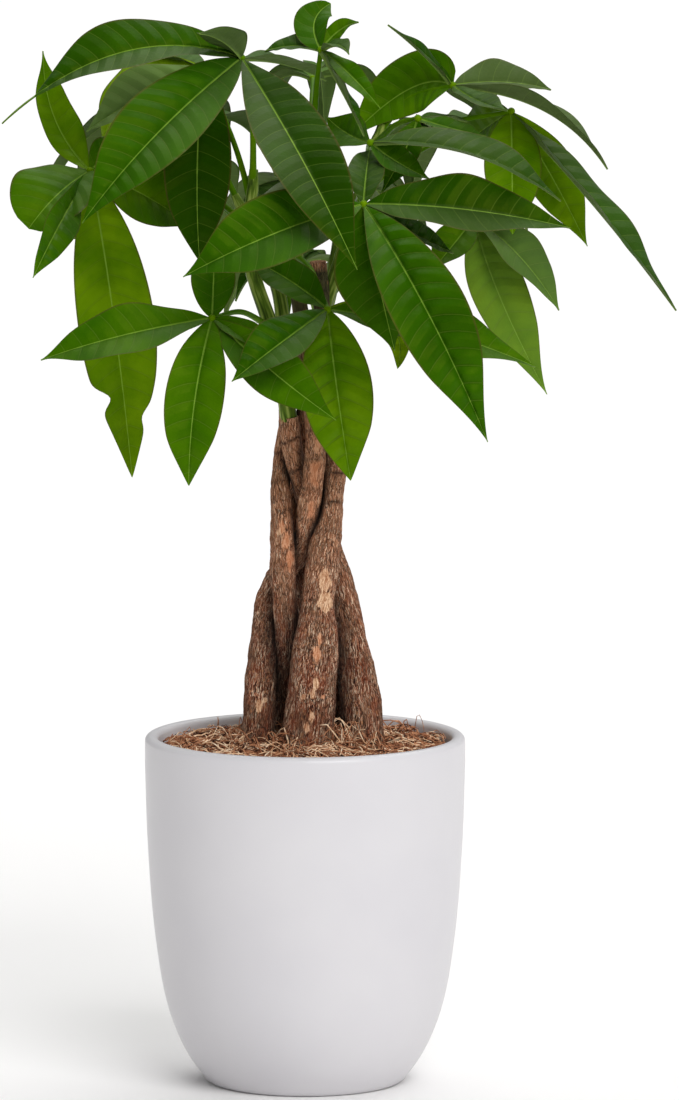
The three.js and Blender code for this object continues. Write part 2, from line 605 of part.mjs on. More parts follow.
const rayDraw = draws(RAY_SEED);
for (const each of BACK_LEAVES) {
  const hub = seen(each.hub);
  const blades = rayedLeaflets(hub, each, rayDraw);
  plant.add(toMesh(leaf(each, hub, blades), each.name, MATERIALS.leaf.clone()));
}

export default plant;
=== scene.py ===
import math
import random
from functools import partial

import bmesh
import bpy
from mathutils import Matrix, Vector, noise


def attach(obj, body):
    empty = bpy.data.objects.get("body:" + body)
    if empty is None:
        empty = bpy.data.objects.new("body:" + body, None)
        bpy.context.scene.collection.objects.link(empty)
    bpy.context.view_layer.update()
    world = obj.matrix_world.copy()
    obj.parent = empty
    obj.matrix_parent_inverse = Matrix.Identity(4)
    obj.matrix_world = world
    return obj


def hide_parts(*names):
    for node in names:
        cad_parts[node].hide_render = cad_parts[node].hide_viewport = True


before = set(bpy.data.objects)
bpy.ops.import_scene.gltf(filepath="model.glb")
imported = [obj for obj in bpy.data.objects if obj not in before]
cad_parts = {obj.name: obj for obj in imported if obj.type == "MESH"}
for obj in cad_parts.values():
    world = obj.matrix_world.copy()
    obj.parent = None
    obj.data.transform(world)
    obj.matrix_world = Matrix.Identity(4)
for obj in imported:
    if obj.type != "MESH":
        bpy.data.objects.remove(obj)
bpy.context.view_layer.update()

# Everything is modelled in millimetres, with +Z up and the origin in the middle of the pot's flat base.
# piece() turns it into metres.
MM = 0.001
SHARP = 60.0  # degrees from which an edge is shown sharp

# The eye of the picture. A seen point is (across, height, depth): across and height are read on the
# plane y = 0, and depth runs away from the eye.
EYE = Vector((12.7, -3400.0, 638.0))
AIM_HEIGHT = 197.5
FOCAL = 305.4
SENSOR = 36.0
FORWARD = 1.35  # depths in front of the trunks are stretched, which makes the crown as deep as wide

# The pot, with (height, radius) up its outside
POT_HEIGHT = 129.0
POT_RADII = [(0, 36), (11, 43.8), (28, 50.7), (56, 55.5), (90, 58.1), (118, 59)]
POT_WALL = 5.0
POT_FLOOR = 6.0
POT_FOOT = [(1.5, 0), (0.3, 0.35)]  # in from the base's edge, and up
POT_FOOT_HEIGHT = 1.2
POT_CORNER = [(1.5, 2), (4.5, 0)]  # inside: in from the wall, and up from the floor
POT_CORNER_HEIGHT = 5.0
LIP_ROUND = 2.2
LIP_START = 118.0
LIP_STEPS = 6
WALL_START = 2.5
WALL_STEPS = 26
WALL_SPREAD = 1.2  # over 1 puts them closer near the foot
POT_SIDES = 128

# The coir fibre on the soil
MULCH_LOW = 113.35
MULCH_TOP = 123.0
MULCH_MOUND = 4.5
MOUND_REACH = 30.0
FIBRE_WAVE = 0.7
WAVE_REACH = 4.6
BED_RINGS = 34
BED_SIDES = 140
BED_GAP = 0.3  # to the pot's wall
BED_SUNK = 0.9
CLUMP = 3.2
CLUMP_HEIGHT = 1.1
CLUMP_NOISE = (0.8, 2.0, 3)  # its fineness, growth and octaves
FIBRES = 3900
FIBRE_SEED = 12
FIBRE_GAP = 1.5  # to the pot's wall
FIBRE_RADIUS = 0.3
FIBRE_WIDTHS = (0.55, 1.2)  # shares of that radius
FIBRE_TAPER = 0.5
FIBRE_LENGTHS = (5, 15)
FIBRE_SPREAD = 0.6  # 0.5 spreads them evenly, more puts more in the middle
FIBRE_SHADES = (0, 1, 1, 1, 1, 2, 2)  # the coir's materials, as often as each is drawn
INWARD_LENGTH = 9  # of fibres turned away from the pot's wall
INWARD_STRAY = 1.2
STRAND_POINTS = 6
STRAND_CURL = 0.3  # radians from point to point
STRAND_STRAY = 0.5
STRAND_BUMP = 0.5
STRAND_ARCH = (0.75, 1.0)  # how much of a whole arch a fibre makes
FLUFF = (-0.5, 2.8)  # how far above the matted coir a loose fibre may lie
TUFT = Vector((13.0, -15.0))  # where fibres stand up between the front trunk and the right one
TUFT_REACH = 7.0
NEAR_TRUNK = 6.0
# The share of the fibres that stand up, and how high they rise, and how high the others do
STANDING = {"tuft": (0.7, (3, 10)), "trunk": (0.2, (3, 8)), "open": (0.01, (3, 8))}
LYING = (0.2, 1.6)

# The five canes: (x, y, z, radius) up the wood, and up the green shoot that grows from it
WOOD = {
    "left": [
        (-17, -4, 92, 5.8), (-17.4, -3.5, 125, 6.4), (-16.8, -3, 140, 5.9), (-16.1, -2.5, 152, 5.5),
        (-15.1, -1, 162, 5.4), (-13.8, 1, 171, 5.3), (-11.8, 2.8, 180, 5.3), (-8, 3.4, 188, 5),
        (-3, 1, 196, 4.5), (0, -2.6, 204, 4.2), (1.4, -5.8, 213, 4.1), (2.8, -6.3, 222, 4.1),
        (3.8, -5.5, 232, 3.9), (3.6, -4.5, 243, 3.6), (1.8, -3, 262, 3.3), (-2.6, -0.5, 294, 3),
    ],
    "right": [
        (20, -4, 92, 7.5), (20.7, -3.5, 125, 8.7), (20, -3, 140, 7.9), (19.1, -2.5, 150, 6.9),
        (18, -1.5, 160, 6.1), (16.3, 0.2, 170, 5.5), (13.9, 1.8, 180, 5.1), (11.2, 3.2, 190, 4.8),
        (7.8, 4.2, 200, 4.5), (3.8, 4, 210, 4.2), (-0.3, 2.8, 219, 4), (-3.1, 0, 229, 3.9),
        (-4.8, -1.6, 238, 3.8), (-5.6, -2.2, 247, 3.4),
    ],
    "front": [
        (0, -13, 92, 8.6), (0.5, -13, 125, 9.4), (2, -12.5, 140, 9), (2.6, -12, 150, 9.3),
        (3.5, -11.5, 160, 8.5), (4.2, -11, 170, 7.3), (4.9, -10, 180, 6.4), (6.5, -9, 190, 6),
        (7.6, -7.5, 200, 5.5), (9.2, -5, 210, 4.8), (10.2, -2.5, 220, 4.2), (11, -0.5, 230, 3.8),
        (10.9, 1, 243, 3.6), (9, 1.5, 262, 3.4), (6.5, 1, 284, 3.2), (4.8, 0, 304, 3),
    ],
    "back_left": [
        (-8, 15, 92, 7), (-8.5, 14, 125, 7.8), (-8.5, 11, 138, 6.8), (-8, 5, 149, 6),
        (-6.8, -0.5, 159, 5.3), (-6.4, -4.5, 169, 5), (-7.2, -7, 180, 4.5), (-8.2, -6.8, 190, 4.6),
        (-7.8, -5.5, 200, 4.5), (-8.3, -3, 210, 4.2), (-8.9, 0.5, 220, 3.9), (-8.2, 4.5, 230, 3.6),
        (-6.6, 6.8, 243, 3.3), (-6, 8, 256, 3),
    ],
    "back_right": [
        (13, 15, 92, 7), (13.5, 14.5, 125, 7.8), (13, 13.5, 138, 7), (11.3, 12.5, 150, 6.2),
        (8.5, 12, 161, 5.7), (3.5, 12, 172, 5.8), (0.8, 12, 182, 5.3), (-1.8, 11.5, 191, 5),
        (-4, 9.8, 200, 4.6), (-4.6, 8.4, 209, 4.3), (-2.8, 10.6, 218, 4.1), (1.3, 10.3, 226, 3.9),
        (2, 8.8, 234, 3.7), (0, 7.6, 245, 3.5), (1, 9, 258, 3.2),
    ],
}
SHOOTS = {
    "left": [
        (-2.2, -0.8, 291, 2.8), (-3, 0.2, 308, 2.6), (-1, 1, 328, 2.4), (2.5, 2, 346, 2.1),
        (3.5, 2, 356, 1.6),
    ],
    "right": [
        (-5.5, -2.1, 244, 3.2), (-8.5, -3, 263, 3), (-13, -4, 282, 2.8), (-18.5, -4, 299, 2.6),
        (-20.5, -3.5, 316, 2.4), (-19, -3, 331, 2.2), (-18.6, -3, 338, 1.6),
    ],
    "front": [
        (6.6, 1, 284, 2.4), (10.5, 3, 297, 2.5), (16, 5, 313, 2.4), (21, 6, 330, 2.3),
        (26, 6, 346, 2.1), (28.5, 6, 354, 1.6),
    ],
    "back_left": [
        (-6, 7.8, 253, 2.8), (-7.5, 13, 272, 2.7), (-10, 19, 292, 2.6), (-19, 24, 312, 2.3),
        (-26, 26, 326, 1.6),
    ],
    "back_right": [
        (0.9, 8.8, 255, 3), (5, 15, 274, 2.8), (10, 22, 294, 2.6), (13, 27, 314, 2.3),
        (14, 29, 330, 1.6),
    ],
}

# Scars where bark has come off, by cane: seen (across, height), half width, half height, how fresh each
# is, from old tan wood, 0, to orange-brown, 1, and how much of it is bare
SCARS = {
    "front": [
        ((7.4, 180.6), 3.4, 4.6, 0.1, 1), ((7.3, 188.2), 2.9, 6.0, 0.2, 0.95),
        ((5.6, 166.5), 1.0, 3.4, 0.7, 0.9), ((4.6, 161.5), 1.9, 4.2, 0.7, 0.9),
        ((4.2, 151), 1.4, 2.8, 0, 1), ((2.8, 147), 1.1, 2.4, 0.2, 1), ((2.2, 139), 1.3, 3.2, 0.2, 0.8),
        ((0.6, 135), 1.6, 3.2, 0.3, 0.8), ((-0.5, 146), 1.0, 1.3, 0.4, 1), ((6.8, 146), 0.9, 1.1, 0.8, 1),
    ],
    "left": [
        ((-16.8, 141), 2.0, 2.4, 0.1, 1), ((-14.6, 143), 1.0, 1.4, 0, 1), ((3.6, 227), 3.2, 9.5, 0.9, 0.66),
        ((4.6, 237), 2.6, 5.0, 0.7, 0.66), ((2.2, 213), 2.6, 7.5, 0.9, 0.58),
        ((-6, 190), 2.6, 4.5, 0.8, 0.45),
    ],
    "back_left": [
        ((-8.3, 207), 1.2, 3.4, 0.8, 0.8), ((-7.0, 202), 2.1, 5.0, 0.8, 0.8),
        ((-5.4, 195), 1.8, 5.2, 0.9, 0.9), ((-9.6, 205), 0.9, 1.4, 0.2, 1),
    ],
}
SCAR_STRAY = 0.35  # how far a scar's edge strays, as a share of its size
SCAR_GRAIN = 2.0  # mm over which that changes
SCAR_END = 1.3  # where a scar has faded out, as a share of its size
SCAR_SMOOTH = 0.85

# Rings that fallen leaves left round the upper wood
RING_SPACING = 10.5
RING_START = 200.0
RING_FADE = 14.0
RING_WIDTH = 0.55
RING_TILT = 1.1
RING_TURN = 40.0  # mm up for each radian that the tilt turns
RING_FAINTER = 0.35  # round the cane, as a share
RING_SHIFT = 3.7  # from one cane to the next

# The leaves that show from the front: the shoot and the height that a leaf grows from, the bend of its
# petiole, which otherwise only arches, its hub, and its blades. A blade is its middle, its tip, its width,
# the way that its upper face looks, its tone from 0, deep green, to 1, yellow-green with the light behind
# it, how strongly it swells between its veins, and its shape, if that isn't lance. The tone is partly the
# leaf's own green and partly painted light: its yellow-green stands for light shining through the leaf.
FRONT_LEAVES = {
    "top_left": ("right", 333, (-19.2, 355, -6), (-23, 378.5, -10), [
        ((-67, 380.6, -20), (-110.7, 354.6, -26), 27, (0, -1, 1.3), 0.27, 0.7, "tailed"),
        ((-54.5, 350.3, -38), (-81.5, 318, -48), 31, (-0.2, -1, 0.5), 0.4, 1.1, "early"),
        ((-1.5, 342.5, -46), (19.2, 301, -66), 29, (0.2, -1, 0.4), 0.18, 0.3),
        ((-7, 376.8, 10), (8, 370.5, 26), 16, (0, -0.2, 1), 0.3, 0.6),
        ((-30, 385.2, -20), (-38.5, 387.8, -34), 17, (0, 0.5, 1), 0.3, 1.2),
    ]),
    "top_left_back": ("right", 326, (-25, 345, 3), (-37.1, 375.1, 14), [
        ((-59.5, 364.5, 6), (-79.8, 351.6, 4), 24, (-0.3, -1, 1), 0.46, 2),
        ((-62, 366, 26), (-74, 347, 34), 28, (-0.5, -0.7, 1), 0.85, 0.5),
        ((-39.3, 338, 2), (-38.5, 304, 0), 26, (0.1, -1, 0.2), 0.2, 0.5, "blunt"),
        ((-50, 377.5, 34), (-66, 375.5, 60), 20, (0, 0, 1), 0.35, 0.8),
        ((-36, 372, 32), (-34, 361, 48), 18, (0, 0.3, 1), 0.4, 0.8),
    ]),
    "far_left": ("right", 318, (-46, 335, 17), (-78.5, 337.2, 8), [
        ((-91.5, 357, 14), (-95.4, 381, 10), 17, (0.6, -1, 0.2), 0.66, 0.5, "early"),
        ((-90, 329, -6), (-101, 316, -12), 33, (-0.5, -1, 0.5), 0.52, 0.9, "full"),
        ((-70.2, 285, 4), (-63.4, 224.4, 8), 30, (0.1, -1, 0.15), 0.71, 0.4, "notched"),
        ((-59, 328.5, 10), (-40, 316, 18), 26, (0.2, -1, 0.5), 0.6, 0.6),
        ((-90, 317, -24), (-99.5, 297.9, -36), 14, (0.5, -1, 0), 0.5, 0.6),
        ((-71, 343, 12), (-62, 347, 18), 16, (-0.3, -1, 0.6), 0.5, 0.6),
    ]),
    "low_left": ("right", 280, None, (-34, 283.1, -32), [
        ((-66, 277, -40), (-96.8, 267.7, -38), 22.5, (0, -1, 1), 0.5, 0.5),
        ((-40.4, 252.5, -44), (-42.6, 221.3, -44), 22.5, (0, -1, 0.2), 0.56, 0.8, "blunt"),
        ((-33.4, 297.5, -27), (-33, 309.5, -22), 17, (0, -1, 0.6), 0.5, 0.6, "round"),
        ((-12, 263.5, -42), (11.3, 245.6, -48), 21, (0.1, -1, 0.5), 0.52, 0.6),
        ((-21.5, 277, -34), (-8, 269, -30), 12, (0, -1, 1.2), 0.5, 0.6),
    ]),
    "low_centre": ("left", 306, None, (8.3, 286.3, -28), [
        ((-9.5, 273.5, -46), (-26.8, 259.8, -56), 20, (-0.2, -1, 0.5), 0.38, 1.3),
        ((11.9, 256, -30), (16.8, 223.2, -26), 27, (0.05, -1, 0.15), 0.66, 1.9, "blunt"),
        ((46, 279, -26), (84.6, 265.2, -22), 24, (0, -1, 1.2), 0.52, 0.6),
        ((-5.5, 297, -22), (-22, 306, -14), 16, (0.3, -1, 0.5), 0.4, 0.8),
        ((30.5, 281.5, -12), (34, 264.6, -14), 12, (0, -1, 0.3), 0.85, 0.5, "round"),
    ]),
    "front_right": ("front", 325, None, (21.5, 325, -40), [
        ((-11, 314.3, -54), (-44.6, 298.3, -56), 30, (-0.1, -1, 0.6), 0.42, 1.3),
        ((58, 323.2, -44), (97.2, 316.3, -40), 27, (0, -1, 1.1), 0.22, 0.6),
        ((45, 285.3, -62), (67.1, 237.4, -62), 29, (0.15, -1, 0.35), 0.39, 1.9),
        ((26.3, 299.5, -42), (32.9, 271.2, -40), 30, (-0.3, -1, 0.1), 0.34, 0.4),
        ((22.5, 336.5, -30), (23.8, 345, -16), 14, (0, -1, 0.9), 0.18, 0.8, "blunt"),
        ((38, 315, -32), (54.5, 307, -26), 16, (0, -0.6, 1), 0.15, 2),
    ]),
    "crown": ("left", 352, None, (6, 381.5, -4), [
        ((3.5, 391.5, 4), (9.5, 398.5, 10), 15, (-0.35, -1, 0.3), 0.45, 0.8, "round"),
        ((12.5, 388.5, -2), (19.5, 391.8, -6), 8, (0, -1, 1), 0.6, 0.5),
        ((11.5, 383.5, -12), (16.2, 380, -20), 9, (0.2, -1, 1), 0.3, 0.6),
        ((-4, 383, 2), (-14.7, 381, 4), 12, (0, -0.6, 1), 0.25, 0.6),
        ((17, 372, -14), (27.7, 360, -20), 9, (0.3, -1, 0.6), 0.5, 0.6),
        ((14.5, 366, -18), (22, 350, -24), 10, (1, -0.1, 0.7), 0.3, 0.6),
    ]),
    "top_right": ("front", 352, (38.7, 364, 6), (54, 368.5, 0), [
        ((44.5, 379.2, -4), (30.5, 390.8, -8), 8, (0.75, -0.3, 0.75), 0.2, 0.7),
        ((38.5, 367.4, 8), (17, 350, 6), 25, (-0.4, -1, 0.45), 0.56, 0.8, "broad"),
        ((72, 369.8, 6), (90, 367, 10), 22, (0, -0.5, 1), 0.08, 0.8),
        ((87.5, 360, -10), (110.9, 337.9, -16), 20, (0.5, 0.02, 0.86), 0.1, 0.8),
        ((63, 363, -14), (74, 359.5, -26), 12, (0, -0.3, 1), 0.25, 0.8),
        ((60, 366, 26), (66, 355, 48), 22, (0, 0.6, 1), 0.35, 0.8),
    ]),
    "far_right": ("front", 340, None, (75.4, 359, 8), [
        ((75.8, 338, 0), (76, 314, -2), 22, (0, -1, 0.2), 0.66, 0.5, "blunt"),
        ((66, 353, 22), (56, 345, 40), 20, (0, -1, 0.5), 0.68, 0.6),
        ((105.5, 325.7, -6), (136.2, 286, -10), 22, (0.78, -0.22, 0.6), 0.26, 0.6),
        ((89.5, 336.5, 14), (103.4, 309.5, 16), 20, (-0.1, -1, 0.3), 0.72, 0.5),
        ((77, 351, 24), (79, 341, 36), 12, (0.2, 0.6, 1), 0.4, 0.8),
    ]),
    "mid_right": ("front", 336, None, (24, 347.5, -25), [
        ((60, 344, -34), (93.8, 326.3, -34), 25, (0, -0.25, 1), 0.22, 0.7),
        ((15.5, 351, -10), (8, 357, -6), 16, (0, -1, 0.3), 0.5, 0.8),
        ((33, 341, -27), (46, 334, -28), 13, (0, -1, 1), 0.45, 0.8),
    ]),
    "inner_right": ("front", 347, (33.8, 354.4, -5), (41.3, 356.4, -11), [
        ((50, 356.9, -4), (59.4, 355.6, -2), 8, (0, 0, 1), 0.3, 0.5),
        ((53, 353, -14), (66, 350, -22), 9, (0, -0.6, 1), 0.45, 0.6),
        ((36.5, 344.5, -14), (28, 329, -16), 12, (0, -1, 0.3), 0.35, 0.8),
        ((47.5, 355.5, 12), (53, 350, 26), 11, (0, 0.5, 1), 0.4, 0.8),
    ]),
    "low_right": ("front", 318, None, (62, 320, 14), [
        ((71, 292, 8), (88.8, 255, 6), 22, (0.1, -1, 0.3), 0.72, 0.5),
        ((78.5, 306, 6), (93.2, 286, 2), 20, (0.6, -0.8, 0.6), 0.48, 0.6),
        ((55, 311, 6), (46, 300, -2), 16, (-0.3, -1, 0.4), 0.6, 0.6),
        ((70, 318, 34), (76, 303, 54), 16, (0.3, 0.5, 1), 0.4, 0.8),
        ((62, 316, 30), (62, 303, 42), 16, (0, 0.7, 1), 0.4, 0.8),
    ]),
}

# The leaves behind, whose blades spread like rays: shoot, height, hub, heading in degrees from +X, and the
# length of the longest blade
BACK_LEAVES = {
    "back_1": ("back_left", 322, (-42, 353, 44), 128, 84),
    "back_2": ("back_right", 326, (9, 328, 70), 96, 84),
    "back_3": ("back_right", 316, (50, 349, 54), 60, 76),
    "back_4": ("back_left", 300, (-46, 338, 38), 128, 66),
    "back_5": ("left", 345, (3, 371, 44), 80, 50),
    "back_6": ("back_left", 276, (-2, 303, 42), 126, 54),
    "back_7": ("back_right", 288, (24, 300, 54), 52, 62),
}
FRONT_SEED = 5
BACK_SEED = 9
RAY_SEED = 7
RAYS = 5
RAY_SPREAD = 42
RAY_STRAY = 6
RAY_LENGTHS = (0.94, 1.06)
RAY_DROOPS = (0.375, 0.6)
RAY_SHORTER = 0.24
RAY_RISE = 0.08
MIDDLE_DROOP = 0.12
TIP_REACH = 0.88
OUTWARD_LEAN = 0.4
WIDTH_OF_LENGTH = 0.26
RAY_TONES = (0.2, 0.5)
RAY_RELIEFS = (0.4, 1.4)

# Blade shapes: where the blade is widest, how slender it is, how much its end narrows to a drip tip, and
# the share of its length where the blade ends and only a thin tail goes on
SHAPES = {
    "lance": (0.97, 1.0, 0.45, 1),
    "early": (0.85, 0.95, 0.5, 1),
    "tailed": (1.12, 0.88, 0.3, 0.86),
    "blunt": (0.95, 0.8, 0.35, 1),
    "broad": (0.7, 0.6, 0.4, 1),
    "full": (1.35, 0.5, 0, 1),
    "round": (0.95, 0.66, 0.15, 1),
    "notched": (1.05, 0.78, 0.4, 1),
}

# How a blade is shaped
FOLD = 0.3  # radians that each half is raised about the midrib
FOLD_ROUND = 0.35  # how much of that is a bend instead of a crease
SIDE_SPREAD = 1.1  # over 1 puts its points closer at the midrib
DRIP_START = 0.7  # share of the length where the drip tip starts
DRIP_CURVE = 1.5
BLADE_THICKNESS = 0.45
MIDRIB_DEPTH = 0.6  # how far the midrib stands out beneath
MIDRIB_GROOVE = 0.35
MIDRIB_END = 1.3  # blade lengths at which its pale line would end
BLADE_SIDES = 32
STATION = 1.1  # mm between cross sections
LEAST_STATIONS = 14
PUCKER = 0.55  # how far the leaf swells between two side veins
SWELLS = (0.5, 1.3)  # shares of that which a half of a blade may have
EDGE_WAVE = 0.9
EDGE_WAVES = (1.6, 2.6)  # how many there are along an edge
EDGE_SHIFT = 2.2  # radians between the waves of the two edges
VEIN_SPACING = 6.8
VEIN_SLANT = 0.3  # mm that a side vein runs on for each mm across
VEIN_CURVE = 0.02
FULL_SIZE = 60.0  # length from which a blade has its whole relief
ROOT_HALF = 0.65  # least half width at the blade's root and at its tail
TAIL_HALF = 0.15
UP_SHEEN = 0.32  # painted sheen: grey on the upper faces that look up
UP_SHEEN_START = 0.62  # how far up a face looks where that begins
UP_SHEEN_RANGE = 0.3
# More painted grey sheen for the leaflets that look dull and pale from the front: leaf, then blade, then how
# much
PAINTED_SHEEN = {
    "top_left_back": {0: 0.9}, "top_right": {2: 0.4, 3: 0.4}, "far_right": {2: 0.15},
    "low_right": {0: 0.4, 1: 0.65},
}
TWIST = 0.14  # radians that the tip may be turned about the midrib
NOTCHES = [(1, 0.76, 0.5), (-1, 0.83, 0.25)]  # a nicked blade's side, place and depth, as shares
NOTCH_REACH = 0.03
PETIOLE_ARCH = 4.0
PETIOLE_RADIUS = 1.25
PETIOLE_TAPER = 0.4
PETIOLE_SWELLS = (0.5, 0.35)  # at its root and at its hub
PETIOLE_FADES = (14, 16)  # how fast those end along it
PETIOLE_SIDES = 10
PETIOLE_STATIONS = 26
PETIOLE_TONE = 0.62
KNOB_TONE = 0.74
KNOB_RADIUS = 1.5
OFF_VEINS = (0.5, 0.9, 0.0)  # a blade's place that has no vein, midrib or margin

# How a trunk and a green stem are shaped
BARK_SIDES = 72
BARK_STATION = 1.1
BARK_WAVES = [(3, 11), (2, 5)]
BARK_ROUGHNESS = 0.035
RIDGE_WIDE = 1.5
RIDGE_LONG = 8.0
RIDGE_HEIGHT = 0.42
RIDGE_NOISE = (0.7, 2.1, 4)  # its fineness, growth and octaves
RIDGE_CALM = 0.5  # how much lower the ridges get above the first ring, and over how many mm
CALM_REACH = 30.0
LUMP = 12.0
LUMP_HEIGHT = 0.5
SCAR_DEPTH = 0.3
SCARS_FACE = 0.2  # a scar lies only where the bark looks less than this toward the back
MARK_DEPTH = 0.4
# How dark the bark gets at a ring where a leaf fell, and as painted shade close to the next trunk
RING_AND_SHADE_DARKNESS = 0.92
STEM_SIDES = 20
STEM_STATION = 1.5
STEM_LUMPS = 0.12
JOINT_SPACING = 21.0
JOINT_SHIFT = 3.0  # for each mm that two stems start apart
JOINT_SWELL = 0.35
JOINT_REACH = 1.6
CREVICE_REACH = 3.0  # mm from the next trunk where the painted shade of the gap begins
FOOT_CREVICE = 6.0  # mm that it reaches further at the trunks' feet, which stand wide apart
FOOT_TOP = (155, 195)  # heights between which that ends

# Sizes of the patterns in the materials, in mm. The finest veins, the bark's fibres and the glaze's
# ripples are finer on the real plant, and are drawn as coarse as they need to show.
LEAF_MOTTLE = 16.667
LEAF_NET = 1.4286
STEM_STREAK = (1.111, 1.111, 11.11)
BARK_FIBRE = (0.3704, 0.3704, 5.0)
BARK_PLATE = (0.625, 0.625, 7.143)
BARK_PATCH = (6.25, 6.25, 13.889)
BARK_FLECK = (2.0, 2.0, 2.778)
BARK_BEND = 3.3333
BARK_STRAY = (1.6, 1.6, 3.0)  # how far fibres and cracks wander
COIR_BLOTCH = 3.0303
PEAT_CRUMB = 1.667
GLAZE_CLOUD = 45.45
GLAZE_PEEL = 2.5

# The studio, in metres and degrees. A light is its heading from straight in front, toward +X, its height
# above the floor, its softness and its strength.
SKY = 0.32
FLOOR_REACH = 30.0
LIGHTS = [("front_right", 25, 36, 40, 1.9), ("above_behind", 160, 68, 60, 1.7)]


def linear(code):
    """An sRGB hex colour as linear RGBA."""
    parts = [int(code[i:i + 2], 16) / 255 for i in (1, 3, 5)]
    return tuple(c / 12.92 if c <= 0.04045 else ((c + 0.055) / 1.055) ** 2.4 for c in parts) + (1.0,)


def feed(node, inputs):
    """Sets a node's inputs, named or in their order, each to a value, a hex colour, or the node or the socket
    that feeds it."""
    for name, value in inputs.items() if isinstance(inputs, dict) else enumerate(inputs):
        if isinstance(value, bpy.types.Node):
            value = value.outputs[2 if value.type == "MIX" else 0]
        if isinstance(value, bpy.types.NodeSocket):
            node.id_data.links.new(value, node.inputs[name])
        else:
            node.inputs[name].default_value = linear(value) if isinstance(value, str) else value


def add_node(tree, kind, inputs=(), stops=(), **settings):
    """Adds a shader node. Stops are a ramp's places and colours. MapRange takes a value, its range and the
    range to bring it to. Mix takes its share at 0 and its colours at 6 and 7. Math multiplies unless an
    operation is given."""
    node = tree.nodes.new("ShaderNode" + kind)
    if kind == "Mix":
        node.data_type = "RGBA"
    elif kind == "Math":
        node.operation = "MULTIPLY"
    for name, value in settings.items():
        setattr(node, name, value)
    feed(node, inputs)
    for i, (place, code) in enumerate(stops):
        element = node.color_ramp.elements[i] if i < 2 else node.color_ramp.elements.new(place)
        element.position = place
        element.color = linear(code)
    return node


def surface(name, **settings):
    """A new material, the function that adds nodes to it, and its surface shader with these settings."""
    material = bpy.data.materials.new(name)
    material.use_nodes = True
    shader = material.node_tree.nodes["Principled BSDF"]
    feed(shader, {socket.replace("_", " "): value for socket, value in settings.items()})
    return material, partial(add_node, material.node_tree), shader


def living_leaf():
    """Living leaf with a waxed upper face: a semi-gloss green whose sheen is tinged by the green around it,
    with a fine pale midrib, side veins in creases darkened with painted shade, swells between them, a thin
    dry margin, and a duller, greyer underside. Painted sheen greys the upper faces that look up and some
    whole blades, and the tone holds painted light shining through from behind."""
    material, add, shader = surface("waxed_living_leaf", Specular_IOR_Level=0.11, Specular_Tint="#f0ff50")
    blade = add("Attribute", attribute_name="blade")
    ribs, aside, across = add("SeparateXYZ", [blade.outputs["Vector"]]).outputs
    look = add("Attribute", attribute_name="tone")
    tone, grey, relief = add("SeparateXYZ", [look.outputs["Vector"]]).outputs
    spot = add("TexCoord").outputs["Object"]
    mottle = add("TexNoise", {"Vector": spot, "Scale": 1 / (LEAF_MOTTLE * MM), "Detail": 4.0})
    shift = add("MapRange", [mottle, 0.3, 0.7, -0.09, 0.09])
    mixed = add("Math", [tone, shift], operation="ADD")
    # The tone's yellow-green end is painted light shining through the leaf from behind.
    greens = [(0.0, "#112b00"), (0.25, "#1d4200"), (0.45, "#2b5701"), (0.62, "#436c01"),
              (0.8, "#658904"), (1.0, "#8fb012")]
    green = add("ValToRGB", [mixed], greens)
    # Side veins lie where ribs is a whole number.
    gap = add("Math", [ribs, 0.5], operation="PINGPONG")
    # Painted shade darkens the creases along the side veins, the more the blade swells there.
    crease = add("MapRange", [gap, 0.0, 0.11, 1.0, 0.0])
    depth = add("Math", [crease, relief])
    shade = add("Math", [depth, 0.38], use_clamp=True)
    dark = add("Mix", {0: shade, 6: green, 7: "#0d2302"})
    vein = add("MapRange", [gap, 0.01, 0.035, 0.16, 0.0])
    veined = add("Mix", {0: vein, 6: dark, 7: "#7fa03c"})
    from_midrib = add("Math", [aside], operation="ABSOLUTE")
    midrib = add("MapRange", [from_midrib, 0.1, 0.42, 0.75, 0.0])
    ribbed = add("Mix", {0: midrib, 6: veined, 7: "#86aa3e"})
    outer = add("Math", [across], operation="ABSOLUTE")
    margin = add("MapRange", [outer, 0.93, 1.0, 0.0, 0.75])
    edged = add("Mix", {0: margin, 6: ribbed, 7: "#4c4120"})
    # The second part of tone greys the leaf toward the underside's colour: on the underside that is its own
    # colour, and on the upper face it is painted sheen.
    underside_and_sheen = add("Math", [grey, 0.42])
    with_underside_and_sheen = add("Mix", {0: underside_and_sheen, 6: edged, 7: "#7d9058"})
    gloss = add("MapRange", [grey, 0.0, 1.0, 0.4, 0.62])
    net = add("TexNoise", {"Vector": spot, "Scale": 1 / (LEAF_NET * MM), "Detail": 2.0})
    swell = add("Math", [gap, relief])
    height = add("Math", [swell, 10.0, net], operation="MULTIPLY_ADD")
    bump = add("Bump", {"Height": height, "Distance": 0.1 * MM})
    feed(shader, {"Base Color": with_underside_and_sheen, "Roughness": gloss, "Normal": bump})
    return material


def green_stem():
    """Young green stem: smooth and softly glossy, with pale and dark streaks along its length."""
    material, add, shader = surface("green_stem", Roughness=0.5, Specular_IOR_Level=0.2,
                                    Specular_Tint="#fdffa0")
    grain = add("Attribute", attribute_name="grain").outputs["Vector"]
    drawn = add("Mapping", {0: grain, "Scale": [1 / size for size in STEM_STREAK]})
    streaks = add("TexNoise", {"Vector": drawn, "Scale": 1.0, "Detail": 4.0})
    green = add("ValToRGB", [streaks], [(0.35, "#2f4710"), (0.5, "#55701f"), (0.65, "#8c9c4a")])
    bump = add("Bump", {"Height": streaks, "Distance": 0.2 * MM, "Strength": 0.6})
    feed(shader, {"Base Color": green, "Normal": bump})
    return material


